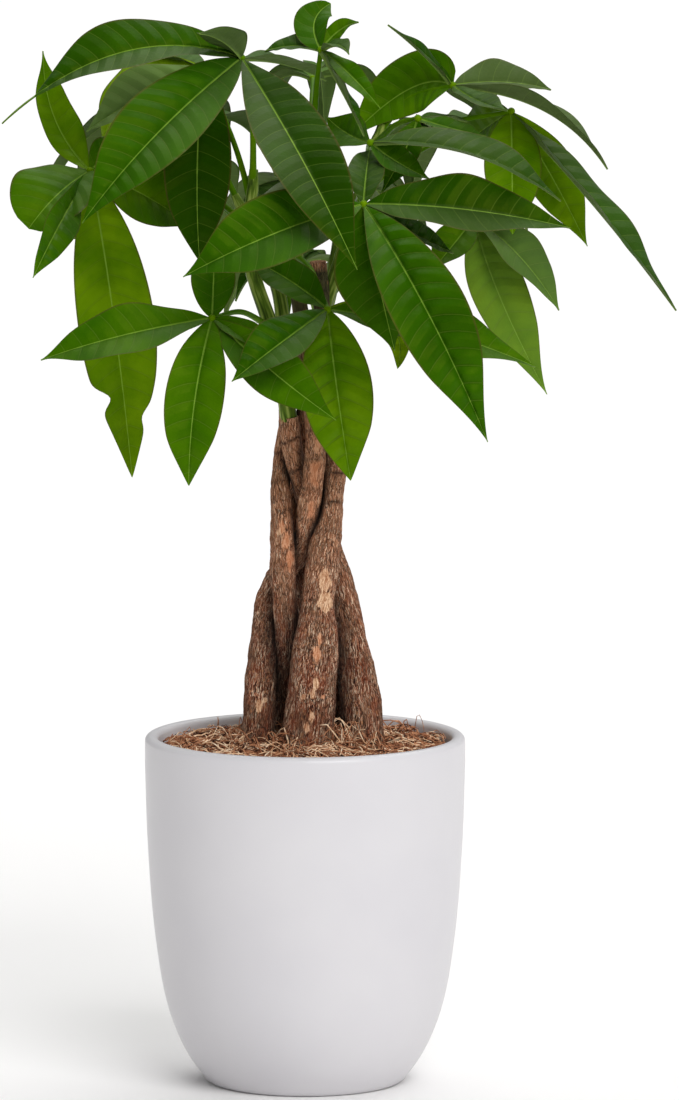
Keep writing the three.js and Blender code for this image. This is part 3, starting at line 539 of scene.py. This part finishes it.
def fissured_bark():
    """Living bark, dry and matt: grey-brown fibres with long fine cracks, red-brown patches and orange
    flecks low on the trunks, smoother and pinker higher up, dark green below the brown cut end, bare tan
    scars, dark rings where leaves fell, and painted shade, nearly black, where two trunks press together."""
    material, add, shader = surface("dry_fissured_bark", Roughness=0.85, Specular_IOR_Level=0.25)
    grain = add("Attribute", attribute_name="grain").outputs["Vector"]
    look = add("Attribute", attribute_name="worn")
    worn, freshness, ring_and_shade = add("SeparateXYZ", [look.outputs["Vector"]]).outputs
    spot = add("TexCoord").outputs["Object"]
    up = add("SeparateXYZ", [spot]).outputs[2]
    bent = add("TexNoise", {"Vector": grain, "Scale": 1 / BARK_BEND, "Detail": 3.0})
    warp = add("VectorMath", [bent.outputs["Color"], BARK_STRAY, grain], operation="MULTIPLY_ADD")
    fine = add("Mapping", {0: warp, "Scale": [1 / size for size in BARK_FIBRE]})
    fibre = add("TexNoise", {"Vector": fine, "Scale": 1.0, "Detail": 6.0, "Roughness": 0.65})
    browns = [(0.42, "#2a130a"), (0.476, "#8a4f37"), (0.534, "#d99a74"), (0.592, "#ffe6c8")]
    brown = add("ValToRGB", [fibre], browns)
    tall = add("Mapping", {0: warp, "Scale": [1 / size for size in BARK_PATCH]})
    clouds = add("TexNoise", {"Vector": tall, "Scale": 1.0, "Detail": 6.0, "Roughness": 0.6})
    redder, greyer, rougher = add("SeparateColor", [clouds.outputs["Color"]]).outputs
    low = add("MapRange", [up, 0.15, 0.21, 0.7, 0.3])
    rust = add("MapRange", [redder, 0.42, 0.6, 0.0, 1.0])
    rusty = add("Math", [rust, low])
    red = add("Mix", {0: rusty, 6: brown, 7: "#8f4527"})
    stale = add("MapRange", [greyer, 0.45, 0.62, 0.0, 0.45])
    grey = add("Mix", {0: stale, 6: red, 7: "#75614a"})
    young = add("MapRange", [up, 0.165, 0.23, 0.0, 0.52])
    pink = add("Mix", {0: young, 6: grey, 7: "#dd9a70"})
    greened = add("MapRange", [up, 0.256, 0.274, 0.0, 0.9])
    cut_end = add("MapRange", [up, 0.3, 0.303, 1.0, 0.0])
    below_cut = add("Math", [greened, cut_end])
    top = add("Mix", {0: below_cut, 6: pink, 7: "#37451c"})
    long = add("Mapping", {0: warp, "Scale": [1 / size for size in BARK_PLATE]})
    plates = add("TexVoronoi", {"Vector": long, "Scale": 1.0}, feature="DISTANCE_TO_EDGE")
    crack = add("MapRange", [plates, 0.0, 0.12, 0.9, 0.0])
    patchy = add("MapRange", [rougher, 0.4, 0.6, 0.55, 1.0])
    split = add("Math", [crack, patchy])
    cracked = add("Mix", {0: split, 6: top, 7: "#2c1910"})
    squat = add("Mapping", {0: grain, "Scale": [1 / size for size in BARK_FLECK]})
    flecks = add("TexVoronoi", {"Vector": squat, "Scale": 1.0})
    dots = add("MapRange", [flecks, 0.14, 0.26, 1.0, 0.0])
    dotted = add("Math", [dots, low])
    flecked = add("Mix", {0: dotted, 6: cracked, 7: "#bd8358"})
    ragged = add("Math", [fibre, 0.9, worn], operation="MULTIPLY_ADD")
    bare = add("MapRange", [ragged, 0.84, 1.04, 0.0, 0.92])
    tan = add("ValToRGB", [fibre], [(0.42, "#936443"), (0.5, "#cda07b"), (0.58, "#e6c6a4")])
    rawness = add("Math", [freshness, 0.75])
    fresh = add("Mix", {0: rawness, 6: tan, 7: "#c2744c"})
    peeled = add("Mix", {0: bare, 6: flecked, 7: fresh})
    # Rings where leaves fell darken the bark, and painted shade darkens it nearly to black where two trunks
    # press together.
    ringed_and_shaded = add("Mix", {0: ring_and_shade, 6: peeled, 7: "#160c07"})
    smooth = add("MapRange", [bare, 0.0, 0.9, 1.0, 0.25])
    height = add("Math", [split, -0.7, fibre], operation="MULTIPLY_ADD")
    bump = add("Bump", {"Height": height, "Distance": 0.9 * MM, "Strength": smooth})
    feed(shader, {"Base Color": ringed_and_shaded, "Normal": bump})
    return material


def coir(name, browns):
    """Dry coir fibre, matt: one brown that changes along the fibre."""
    material, add, shader = surface(name, Roughness=0.85, Specular_IOR_Level=0.25)
    spot = add("TexCoord").outputs["Object"]
    blotches = add("TexNoise", {"Vector": spot, "Scale": 1 / (COIR_BLOTCH * MM), "Detail": 4.0})
    brown = add("ValToRGB", [blotches], list(zip((0.35, 0.5, 0.66), browns)))
    bump = add("Bump", {"Height": blotches, "Distance": 0.8 * MM})
    feed(shader, {"Base Color": brown, "Normal": bump})
    return material


def peat():
    """Peat soil, matt and dark, in crumbs."""
    material, add, shader = surface("peat_soil", Roughness=0.95)
    spot = add("TexCoord").outputs["Object"]
    crumbs = add("TexVoronoi", {"Vector": spot, "Scale": 1 / (PEAT_CRUMB * MM)})
    brown = add("ValToRGB", [crumbs], [(0.0, "#160e08"), (0.8, "#3b2a1d")])
    bump = add("Bump", {"Height": crumbs, "Distance": 1.0 * MM})
    feed(shader, {"Base Color": brown, "Normal": bump})
    return material


def satin_glaze():
    """Stoneware under a satin white glaze: a cool white with a broad soft highlight, hardly uneven."""
    material, add, shader = surface("satin_glaze", IOR=1.5)
    spot = add("TexCoord").outputs["Object"]
    cloud = add("TexNoise", {"Vector": spot, "Scale": 1 / (GLAZE_CLOUD * MM), "Detail": 3.0})
    white = add("ValToRGB", [cloud], [(0.3, "#d1cfd3"), (0.7, "#d6d4d7")])
    rough = add("MapRange", [cloud, 0.3, 0.7, 0.3, 0.4])
    orange_peel = add("TexNoise", {"Vector": spot, "Scale": 1 / (GLAZE_PEEL * MM), "Detail": 2.0})
    bump = add("Bump", {"Height": orange_peel, "Distance": 0.02 * MM, "Strength": 0.6})
    feed(shader, {"Base Color": white, "Roughness": rough, "Normal": bump})
    return material


def paper():
    """Matt studio paper for the floor."""
    return surface("studio_paper", Roughness=0.9, Base_Color="#f4f3f2")[0]


def clamped(value):
    return max(0.0, min(1.0, value))


def draws(seed):
    """The part's seeded draw, so that the back leaves fall as its solids do."""
    state = [seed]

    def draw(low, high):
        state[0] = (state[0] * 16807) % (2 ** 31 - 1)
        return low + (high - low) * state[0] / (2 ** 31 - 1)

    return draw


def seen(point):
    """The point at that depth which the eye sees at (across, height) on the plane y = 0."""
    across, height, depth = point
    away = depth * FORWARD if depth < 0 else depth
    return EYE + (Vector((across, 0, height)) - EYE) * (1 - away / EYE.y)


def through(points, share):
    """The place and the direction at a share of a centripetal Catmull-Rom curve through the points."""
    last = len(points) - 1
    before = min(int(share * last), last - 1)
    t = share * last - before
    p1, p2 = points[before], points[before + 1]
    p0 = points[before - 1] if before else 2 * p1 - p2
    p3 = points[before + 2] if before + 2 <= last else 2 * p2 - p1
    d0, d1, d2 = ((b - a).length ** 0.5 for a, b in ((p0, p1), (p1, p2), (p2, p3)))
    m1 = d1 * ((p1 - p0) / d0 - (p2 - p0) / (d0 + d1) + (p2 - p1) / d1)
    m2 = d1 * ((p2 - p1) / d1 - (p3 - p1) / (d1 + d2) + (p3 - p2) / d2)
    square = 3 * (p2 - p1) - 2 * m1 - m2
    cube = 2 * (p1 - p2) + m1 + m2
    place = p1 + m1 * t + square * t ** 2 + cube * t ** 3
    return place, (m1 + 2 * square * t + 3 * cube * t ** 2).normalized()


def sleeve(bm, around, along, place):
    """A closed tube: a grid whose two sides meet, each vertex put by place(vertex, turn, station)."""
    verts = bmesh.ops.create_grid(bm, x_segments=around, y_segments=along, size=0.5)["verts"]
    ends = []
    for vert in verts:
        turn = round((vert.co.x + 0.5) * around)
        station = round((vert.co.y + 0.5) * along)
        place(vert, turn % around, station)
        if station in (0, along) or turn in (0, around):
            ends.append(vert)
    bmesh.ops.remove_doubles(bm, verts=ends, dist=1e-5)
    rims = {edge for vert in ends if vert.is_valid for edge in vert.link_edges if edge.is_boundary}
    bmesh.ops.holes_fill(bm, edges=list(rims), sides=0)


def at_height(points, height):
    """The point at a height on a curve that climbs through the points."""
    low, high = 0.0, 1.0
    for _ in range(20):
        share = (low + high) / 2
        if through(points, share)[0].z < height:
            low = share
        else:
            high = share
    return through(points, low)[0]


def frames(points, stations):
    """Places with the direction and two cross directions along a curve through points."""
    whole = points[-1] - points[0]
    least = min(range(3), key=lambda i: abs(whole[i]))
    reference = Vector([1.0 if i == least else 0.0 for i in range(3)])
    found = []
    for i in range(stations + 1):
        place, tangent = through(points, i / stations)
        right = (reference - tangent * reference.dot(tangent)).normalized()
        found.append((place, tangent, right, tangent.cross(right)))
    return found


def meshed(bm, name, material):
    """A mesh of this material from a finished bmesh."""
    mesh = bpy.data.meshes.new(name)
    bm.to_mesh(mesh)
    bm.free()
    mesh.materials.append(material)
    return mesh


def placed(name, data):
    """An object with this data, in the scene."""
    made = bpy.data.objects.new(name, data)
    bpy.context.scene.collection.objects.link(made)
    return made


def piece(bm, name, material, slot, node):
    """Turns a finished mesh in millimetres into a piece that rides on the plant and stands for its node."""
    bmesh.ops.recalc_face_normals(bm, faces=bm.faces)
    bmesh.ops.transform(bm, matrix=Matrix.Scale(MM, 4), verts=bm.verts)
    mesh = meshed(bm, name, material)
    mesh.shade_smooth()
    mesh.set_sharp_from_angle(angle=math.radians(SHARP))
    made = placed(name, mesh)
    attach(made, "root")
    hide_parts(node)


def pot_radius(height):
    """Outer radius of the pot at a height."""
    return at_height([Vector((radius, 0, z)) for z, radius in POT_RADII], height).x


def turned(bm, section, steps):
    """Turns a half section of (radius, height) about Z into a closed skin."""
    verts = [bm.verts.new((radius, 0, height)) for radius, height in section]
    edges = [bm.edges.new(pair) for pair in zip(verts, verts[1:])]
    bmesh.ops.spin(bm, geom=verts + edges, axis=(0, 0, 1), cent=(0, 0, 0), angle=math.tau, steps=steps,
                   use_merge=True)
    bmesh.ops.remove_doubles(bm, verts=bm.verts, dist=1e-4)


def lip(centre, start, end):
    """A quarter of the rounded lip, in degrees."""
    angles = [math.radians(start + (end - start) * i / LIP_STEPS) for i in range(LIP_STEPS + 1)]
    middle = POT_HEIGHT - LIP_ROUND
    return [(centre + LIP_ROUND * math.cos(a), middle + LIP_ROUND * math.sin(a)) for a in angles]


def glazed_pot():
    bm = bmesh.new()
    rim = pot_radius(LIP_START)
    rise = LIP_START - WALL_START
    heights = [WALL_START + rise * (i / WALL_STEPS) ** WALL_SPREAD for i in range(WALL_STEPS + 1)]
    outside = [(pot_radius(z), z) for z in heights]
    inside = [(radius - POT_WALL, z) for radius, z in reversed(outside)
              if z > POT_FLOOR + POT_CORNER_HEIGHT]
    wall = inside[-1][0]
    floor = [(wall - inward, POT_FLOOR + up) for inward, up in POT_CORNER] + [(0, POT_FLOOR)]
    foot = [(0, 0)] + [(pot_radius(0) - inward, up) for inward, up in POT_FOOT]
    foot.append((pot_radius(POT_FOOT_HEIGHT), POT_FOOT_HEIGHT))
    outer_lip = lip(rim - LIP_ROUND, 0, 90)
    inner_lip = lip(rim - POT_WALL + LIP_ROUND, 90, 180)
    turned(bm, foot + outside + outer_lip + inner_lip + inside + floor, POT_SIDES)
    piece(bm, "glazed_pot", GLAZE, "ceramic", "pot")


def mulch_height(x, y):
    """Height of the fibre's top at a place, as on the part."""
    mound = MULCH_MOUND * math.exp(-((math.hypot(x, y) / MOUND_REACH) ** 2))
    lumps = math.sin(x / WAVE_REACH) * math.cos(y / WAVE_REACH) + math.sin((x - y) / WAVE_REACH)
    return MULCH_TOP + mound + FIBRE_WAVE * lumps


def coir_bed():
    """The matted coir under the loose fibres, in the dark coir, which is painted shade of the gaps between
    them.
    """
    bm = bmesh.new()
    edge = pot_radius(MULCH_TOP) - POT_WALL - BED_GAP
    rings = [(edge * i / BED_RINGS, MULCH_TOP) for i in range(BED_RINGS, -1, -1)]
    turned(bm, [(0, MULCH_LOW), (edge, MULCH_LOW)] + rings, BED_SIDES)
    for vert in bm.verts:
        if vert.co.z > MULCH_LOW + 1:
            x, y = vert.co.x, vert.co.y
            clump = noise.fractal(Vector((x, y, 0)) / CLUMP, *CLUMP_NOISE)
            vert.co.z = mulch_height(x, y) + CLUMP_HEIGHT * clump - BED_SUNK
    piece(bm, "coir_bed", COIR[0], "coir", "coir_mulch")


def coir_strand(rng, start, heading, length, rise):
    """The points of one fibre, at heights above the mat. It curls as it runs, rises and comes down again."""
    points = []
    place = start.copy()
    curl = rng.uniform(-STRAND_CURL, STRAND_CURL)
    step = length / (STRAND_POINTS - 1)
    for i in range(STRAND_POINTS):
        share = i / (STRAND_POINTS - 1)
        arch = rise * math.sin(math.pi * share * rng.uniform(*STRAND_ARCH))
        points.append(place + Vector((0, 0, arch + rng.uniform(-STRAND_BUMP, STRAND_BUMP))))
        heading += curl + rng.uniform(-STRAND_STRAY, STRAND_STRAY)
        place += Vector((math.cos(heading), math.sin(heading), 0)) * step
    return points


def coir_fibres():
    """Loose curly fibres, more of them and standing higher against the trunks."""
    rng = random.Random(FIBRE_SEED)
    reach = pot_radius(MULCH_TOP) - POT_WALL - FIBRE_GAP
    feet = [(Vector(wood[1][:2]), wood[1][3]) for wood in WOOD.values()]
    curve = bpy.data.curves.new("coir_fibres", "CURVE")
    curve.dimensions = "3D"
    curve.bevel_depth = FIBRE_RADIUS * MM
    curve.bevel_resolution = 0
    curve.use_fill_caps = True
    for material in COIR:
        curve.materials.append(material)
    for _ in range(FIBRES):
        distance, angle = reach * rng.random() ** FIBRE_SPREAD, rng.uniform(0, math.tau)
        spot = Vector((math.cos(angle), math.sin(angle))) * distance
        gap = min((spot - foot).length - radius for foot, radius in feet)
        heading = rng.uniform(0, math.tau)
        length = rng.uniform(*FIBRE_LENGTHS)
        end = spot + Vector((math.cos(heading), math.sin(heading))) * length
        if gap < 0:
            continue
        if end.length > reach:
            heading = math.atan2(-spot.y, -spot.x) + rng.uniform(-INWARD_STRAY, INWARD_STRAY)
            length = min(length, INWARD_LENGTH)
        where = "tuft" if (spot - TUFT).length < TUFT_REACH else "trunk" if gap < NEAR_TRUNK else "open"
        share, rises = STANDING[where]
        rise = rng.uniform(*(rises if rng.random() < share else LYING))
        start = Vector((spot.x, spot.y, rng.uniform(*FLUFF)))
        points = coir_strand(rng, start, heading, length, rise)
        spline = curve.splines.new("POLY")
        spline.points.add(len(points) - 1)
        thickness = rng.uniform(*FIBRE_WIDTHS)
        for i, point in enumerate(points):
            inward = min(1.0, reach / max(1e-6, math.hypot(point.x, point.y)))
            x, y = point.x * inward, point.y * inward
            spline.points[i].co = (x * MM, y * MM, (mulch_height(x, y) + point.z) * MM, 1)
            spline.points[i].radius = thickness * (1 - FIBRE_TAPER * i / len(points))
        spline.material_index = rng.choice(FIBRE_SHADES)
    drawn = bpy.data.objects.new("coir_fibres", curve)
    mesh = bpy.data.meshes.new_from_object(drawn)
    mesh.name = "coir_fibres"
    bpy.data.objects.remove(drawn)
    mesh.shade_smooth()
    made = placed("coir_fibres", mesh)
    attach(made, "root")


def scarred(name, point):
    """How much of a scar lies at a point on a cane's front, and how fresh it is."""
    level, fresh = 0.0, 0.0
    for (across, height), wide, tall, age, cover in SCARS.get(name, []):
        gap = math.hypot((point.x - across) / wide, (point.z - height) / tall)
        gap += SCAR_STRAY * noise.noise(point / SCAR_GRAIN)
        bare = min(1.0, SCAR_END - gap) * cover
        if bare > level:
            level, fresh = bare, age
    return level, fresh


def crevice(name, point):
    """How near a point of a trunk lies to the next trunk, from 0 in the open to 1 where they touch. It sets
    the painted shade of the gap.
    """
    nearest = 0.0
    full, none = FOOT_TOP
    reach = CREVICE_REACH + FOOT_CREVICE * clamped((none - point.z) / (none - full))
    for other, wood in WOOD.items():
        above = next((i for i, p in enumerate(wood) if p[2] > point.z), 0)
        if other == name or above == 0:
            continue
        low, high = wood[above - 1], wood[above]
        share = (point.z - low[2]) / (high[2] - low[2])
        x, y, _, radius = (a + (b - a) * share for a, b in zip(low, high))
        gap = math.hypot(point.x - x, point.y - y) - radius
        nearest = max(nearest, 1 - max(0.0, gap) / reach)
    return nearest


def ring(name, height, angle):
    """How near a ring is, round the upper wood of a cane."""
    shift = RING_SHIFT * (list(WOOD).index(name) + 1) + RING_TILT * math.sin(angle + height / RING_TURN)
    off = (height + shift) % RING_SPACING - RING_SPACING / 2
    strength = clamped((height - RING_START) / RING_FADE)
    strength *= 1 - RING_FAINTER + RING_FAINTER * math.sin(2 * angle + shift)
    return strength * math.exp(-((off / RING_WIDTH) ** 2))


def limb(points, sides, station, shaped, names):
    """A tube through a cane's points. shaped() gives how far a place on it is lifted, how worn and fresh
    it is, and how dark it is at its rings and in the painted shade by the next trunk."""
    bm = bmesh.new()
    grain = bm.verts.layers.float_vector.new("grain")
    worn = bm.verts.layers.float_vector.new("worn")
    curve = [Vector(p[:3]) for p in points]
    length = sum((b - a).length for a, b in zip(curve, curve[1:]))
    along = round(length / station)
    stations = frames(curve, along)
    last = len(points) - 1

    def place(vert, turn, i):
        centre, _, right, up = stations[i]
        share = i / along * last
        before = min(int(share), last - 1)
        radius = points[before][3] + (points[before + 1][3] - points[before][3]) * (share - before)
        angle = math.tau * turn / sides
        out = right * math.cos(angle) + up * math.sin(angle)
        vert[grain] = (math.cos(angle) * radius, math.sin(angle) * radius, i * station)
        lumps = noise.noise(vert[grain] / LUMP + Vector((curve[0].x, 0, 0)))
        lift, vert[worn] = shaped(centre, out, radius, angle, vert[grain], lumps)
        vert.co = centre + out * (radius + lift)

    sleeve(bm, sides, along, place)
    piece(bm, *names)


def trunk(name, points):
    """A trunk, with ridges, rings, scars, and crevices by the next trunk darkened with painted shade."""

    def barked(centre, out, radius, angle, flat, lumps):
        skin = centre + out * radius
        waves = sum(math.sin(n * angle + centre.z / rise) for n, rise in BARK_WAVES)
        worn, fresh = scarred(name, skin) if out.y < SCARS_FACE else (0.0, 0.0)
        # The mark is the stronger of a ring and the nearness of the next trunk. It sinks the bark a little
        # and darkens it, and near a trunk that darkening is painted shade.
        mark = max(ring(name, centre.z, angle), crevice(name, skin))
        ridged = Vector((flat.x / RIDGE_WIDE, flat.y / RIDGE_WIDE, flat.z / RIDGE_LONG))
        ridges = noise.fractal(ridged, *RIDGE_NOISE)
        calm = 1 - RIDGE_CALM * clamped((centre.z - RING_START) / CALM_REACH)
        lift = radius * BARK_ROUGHNESS * waves + RIDGE_HEIGHT * ridges * (1 - SCAR_SMOOTH * worn) * calm
        lift += LUMP_HEIGHT * lumps - SCAR_DEPTH * worn - MARK_DEPTH * mark
        return lift, (worn, fresh, RING_AND_SHADE_DARKNESS * mark)

    limb(points, BARK_SIDES, BARK_STATION, barked, (f"bark_{name}", BARK, "bark", f"trunk_{name}"))


def stem(name, points):
    """A green stem, a little swollen at its joints."""

    def jointed(centre, out, radius, angle, flat, lumps):
        gap = (centre.z + points[0][0] * JOINT_SHIFT) % JOINT_SPACING - JOINT_SPACING / 2
        swell = JOINT_SWELL * math.exp(-((gap / JOINT_REACH) ** 2))
        return STEM_LUMPS * lumps + swell, (0.0, 0.0, 0.0)

    limb(points, STEM_SIDES, STEM_STATION, jointed, (f"stem_{name}", STEM, "shoot", f"shoot_{name}"))


def outline(share, lean, fullness, drip):
    """Half width of a blade as a share of its greatest, from its root to its drip tip."""
    end = max(0.0, (share - DRIP_START) / (1 - DRIP_START))
    return math.sin(math.pi * share ** lean) ** fullness * (1 - drip * end ** DRIP_CURVE)


def blade(bm, layers, hub, spec, grey, rng):
    """A thin leaflet, folded a little about its midrib, on an arc from the hub to its tip."""
    middle, tip, width, facing, tone, relief, shape = (*spec, "lance")[:7]
    place_layer, tone_layer = layers
    lean, fullness, drip, end = SHAPES[shape]
    control = 2 * middle - 0.5 * hub - 0.5 * tip
    length = (middle - hub).length + (tip - middle).length
    along = max(LEAST_STATIONS, round(length / STATION))
    size = min(1.0, length / FULL_SIZE)
    phase, waves = rng.random(), rng.uniform(*EDGE_WAVES)
    twist = rng.uniform(-TWIST, TWIST)
    swells = (relief * rng.uniform(*SWELLS), relief * rng.uniform(*SWELLS))
    rows = []
    for i in range(along + 1):
        t = i / along
        centre = hub * (1 - t) ** 2 + control * 2 * t * (1 - t) + tip * t ** 2
        tangent = ((control - hub) * (1 - t) + (tip - control) * t).normalized()
        normal = (facing - tangent * facing.dot(tangent)).normalized()
        normal = Matrix.Rotation(twist * t, 3, tangent) @ normal
        least = ROOT_HALF + (TAIL_HALF - ROOT_HALF) * t
        half = max(width / 2 * max(0.0, outline(min(1, t / end), lean, fullness, drip)), least)
        rows.append((centre, normal, tangent.cross(normal), half, t * length, t))

    def place(vert, turn, i):
        centre, normal, side, half, distance, t = rows[i]
        under = turn > BLADE_SIDES // 2
        x = 2 * (BLADE_SIDES - turn if under else turn) / (BLADE_SIDES // 2) - 1
        x = math.copysign(abs(x) ** SIDE_SPREAD, x)
        out = abs(x)
        for notched_side, at, depth in NOTCHES:
            if shape == "notched" and x * notched_side > 0:
                half *= 1 - depth * math.exp(-(((t - at) / NOTCH_REACH) ** 2))
        lateral = half * x * math.cos(FOLD)
        sweep = VEIN_SLANT * abs(lateral) + VEIN_CURVE * lateral ** 2
        ribs = (distance - sweep) / (VEIN_SPACING * (0.5 + 0.5 * size)) + phase
        # The swells and waves die away toward both ends, and the swells at the midrib and the edge too.
        ends = min(1.0, 6 * t, 5 * (1 - t))
        swelling = swells[x > 0] * size * (1 - out ** 2) * min(1.0, 7 * out) * ends
        turned_on = math.tau * (waves * t + phase) + EDGE_SHIFT * (x > 0)
        wave = EDGE_WAVE * size * out ** 2 * ends * math.sin(turned_on)
        lift = half * math.sin(FOLD) * ((1 + FOLD_ROUND) * out - FOLD_ROUND * out ** 2)
        lift += PUCKER * swelling * abs(math.sin(math.pi * ribs)) + wave
        lift -= MIDRIB_GROOVE * max(0.0, 1 - 9 * out) * (1 - t)
        if under:
            lift -= BLADE_THICKNESS * (1 - out ** 4) + MIDRIB_DEPTH * (1 - 0.7 * t) * max(0.0, 1 - 5 * out)
        # Painted sheen: the upper faces that look up are greyed, and the blades listed for it more. The
        # underside keeps its own grey.
        face = normal * math.cos(FOLD) - side * math.copysign(math.sin(FOLD), x)
        up_sheen = UP_SHEEN * clamped((face.z - UP_SHEEN_START) / UP_SHEEN_RANGE)
        vert.co = centre + side * lateral + normal * lift
        vert[place_layer] = (ribs, lateral / (MIDRIB_END - t), x)
        # The third part sets how deep the swells look and how much painted shade darkens their creases.
        vert[tone_layer] = (tone, 1.0 if under else up_sheen + grey, 0.35 + 0.5 * swelling)

    sleeve(bm, BLADE_SIDES, along, place)


def petiole(bm, layers, points):
    """The leaf's stalk, a little swollen at both ends, and the knob that its blades spread from."""
    place_layer, tone_layer = layers
    stations = frames(points, PETIOLE_STATIONS)
    at_root, at_hub = PETIOLE_SWELLS
    root_fade, hub_fade = PETIOLE_FADES

    def place(vert, turn, i):
        centre, _, right, up = stations[i]
        share = i / PETIOLE_STATIONS
        radius = PETIOLE_RADIUS - PETIOLE_TAPER * share
        radius += at_root * math.exp(-root_fade * share) + at_hub * math.exp(-hub_fade * (1 - share))
        angle = math.tau * turn / PETIOLE_SIDES
        vert.co = centre + (right * math.cos(angle) + up * math.sin(angle)) * radius
        vert[place_layer] = OFF_VEINS
        vert[tone_layer] = (PETIOLE_TONE, 0.0, 0.0)

    sleeve(bm, PETIOLE_SIDES, PETIOLE_STATIONS, place)
    knob = bmesh.ops.create_icosphere(bm, subdivisions=2, radius=KNOB_RADIUS,
                                      matrix=Matrix.Translation(points[-1]))
    for vert in knob["verts"]:
        vert[place_layer] = OFF_VEINS
        vert[tone_layer] = (KNOB_TONE, 0.0, 0.0)


def leaf(name, shoot, height, bend, hub, blades, rng):
    """A leaf: its petiole and the blades about its hub, in one piece."""
    bm = bmesh.new()
    layers = (bm.verts.layers.float_vector.new("blade"), bm.verts.layers.float_vector.new("tone"))
    root = at_height([Vector(p[:3]) for p in SHOOTS[shoot]], height)
    hub = seen(hub)
    arch = (root + hub) / 2 + Vector((0, 0, PETIOLE_ARCH))
    petiole(bm, layers, [root, seen(bend) if bend else arch, hub])
    for i, spec in enumerate(blades):
        blade(bm, layers, hub, spec, PAINTED_SHEEN.get(name, {}).get(i, 0.0), rng)
    piece(bm, f"foliage_{name}", LEAF, "leaf", f"leaf_{name}")


def front_leaves():
    rng = random.Random(FRONT_SEED)
    for name, (*growth, blades) in FRONT_LEAVES.items():
        specs = [(seen(middle), seen(tip), width, Vector(facing), *look)
                 for middle, tip, width, facing, *look in blades]
        leaf(name, *growth, specs, rng)


def rays(hub, heading, longest, draw, rng):
    """The blades of a leaf at the back, spread like rays with the middle one longest."""
    found = []
    for i in range(RAYS):
        place = i - (RAYS - 1) / 2
        angle = math.radians(heading + place * RAY_SPREAD + draw(-RAY_STRAY, RAY_STRAY))
        reach = longest * (1 - RAY_SHORTER * abs(place)) * draw(*RAY_LENGTHS)
        out = Vector((math.cos(angle), math.sin(angle), 0))
        droop = draw(*RAY_DROOPS)
        middle = hub + out * reach / 2 + Vector((0, 0, reach * (RAY_RISE - droop * MIDDLE_DROOP)))
        tip = hub + out * reach * TIP_REACH - Vector((0, 0, reach * droop))
        facing = Vector((out.x * OUTWARD_LEAN, out.y * OUTWARD_LEAN, 1))
        tone, relief = rng.uniform(*RAY_TONES), rng.uniform(*RAY_RELIEFS)
        found.append((middle, tip, longest * WIDTH_OF_LENGTH, facing, tone, relief))
    return found


def back_leaves():
    draw = draws(RAY_SEED)
    rng = random.Random(BACK_SEED)
    for name, (shoot, height, hub, heading, longest) in BACK_LEAVES.items():
        leaf(name, shoot, height, None, hub, rays(seen(hub), heading, longest, draw, rng), rng)


def studio():
    """A plain pale floor, soft light from the front right and from above, and the camera."""
    bm = bmesh.new()
    bmesh.ops.create_grid(bm, x_segments=1, y_segments=1, size=FLOOR_REACH)
    floor = placed("studio_floor", meshed(bm, "studio_floor", PAPER))

    world = bpy.data.worlds.new("studio")
    world.use_nodes = True
    feed(world.node_tree.nodes["Background"], {"Color": "#ffffff", "Strength": SKY})
    bpy.context.scene.world = world
    bpy.context.scene.view_settings.view_transform = "Standard"

    for name, heading, height, softness, strength in LIGHTS:
        lamp = bpy.data.lights.new(name, "SUN")
        lamp.angle = math.radians(softness)
        lamp.energy = strength
        turn, rise = math.radians(heading), math.radians(height)
        level = math.cos(rise)
        source = Vector((math.sin(turn) * level, -math.cos(turn) * level, math.sin(rise)))
        placed(name, lamp).rotation_euler = source.to_track_quat("Z", "Y").to_euler()

    camera = placed("camera", bpy.data.cameras.new("camera"))
    camera.data.lens = FOCAL
    camera.data.sensor_width = SENSOR
    camera.data.clip_end = 50
    camera.location = EYE * MM
    aim = Vector((EYE.x, 0, AIM_HEIGHT)) - EYE
    camera.rotation_euler = aim.to_track_quat("-Z", "Y").to_euler()
    bpy.context.scene.camera = camera


LEAF = living_leaf()
STEM = green_stem()
BARK = fissured_bark()
COIR = [
    # The dark coir, on the bed and on some loose fibres, is partly painted shade: the dark of the gaps
    # between the fibres.
    coir("dark_coir_and_gap_shade", ("#24130b", "#4a2a1b", "#7a4c37")),
    coir("brown_coir_fibre", ("#7c4c33", "#ac7250", "#cf9973")),
    coir("straw_coir_fibre", ("#cf9f77", "#f0cba6", "#ffe9cd")),
]
PEAT = peat()
GLAZE = satin_glaze()
PAPER = paper()

glazed_pot()
coir_bed()
coir_fibres()
for cane in WOOD:
    trunk(cane, WOOD[cane])
    stem(cane, SHOOTS[cane])
front_leaves()
back_leaves()
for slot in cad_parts["soil"].material_slots:
    slot.material = PEAT
studio()
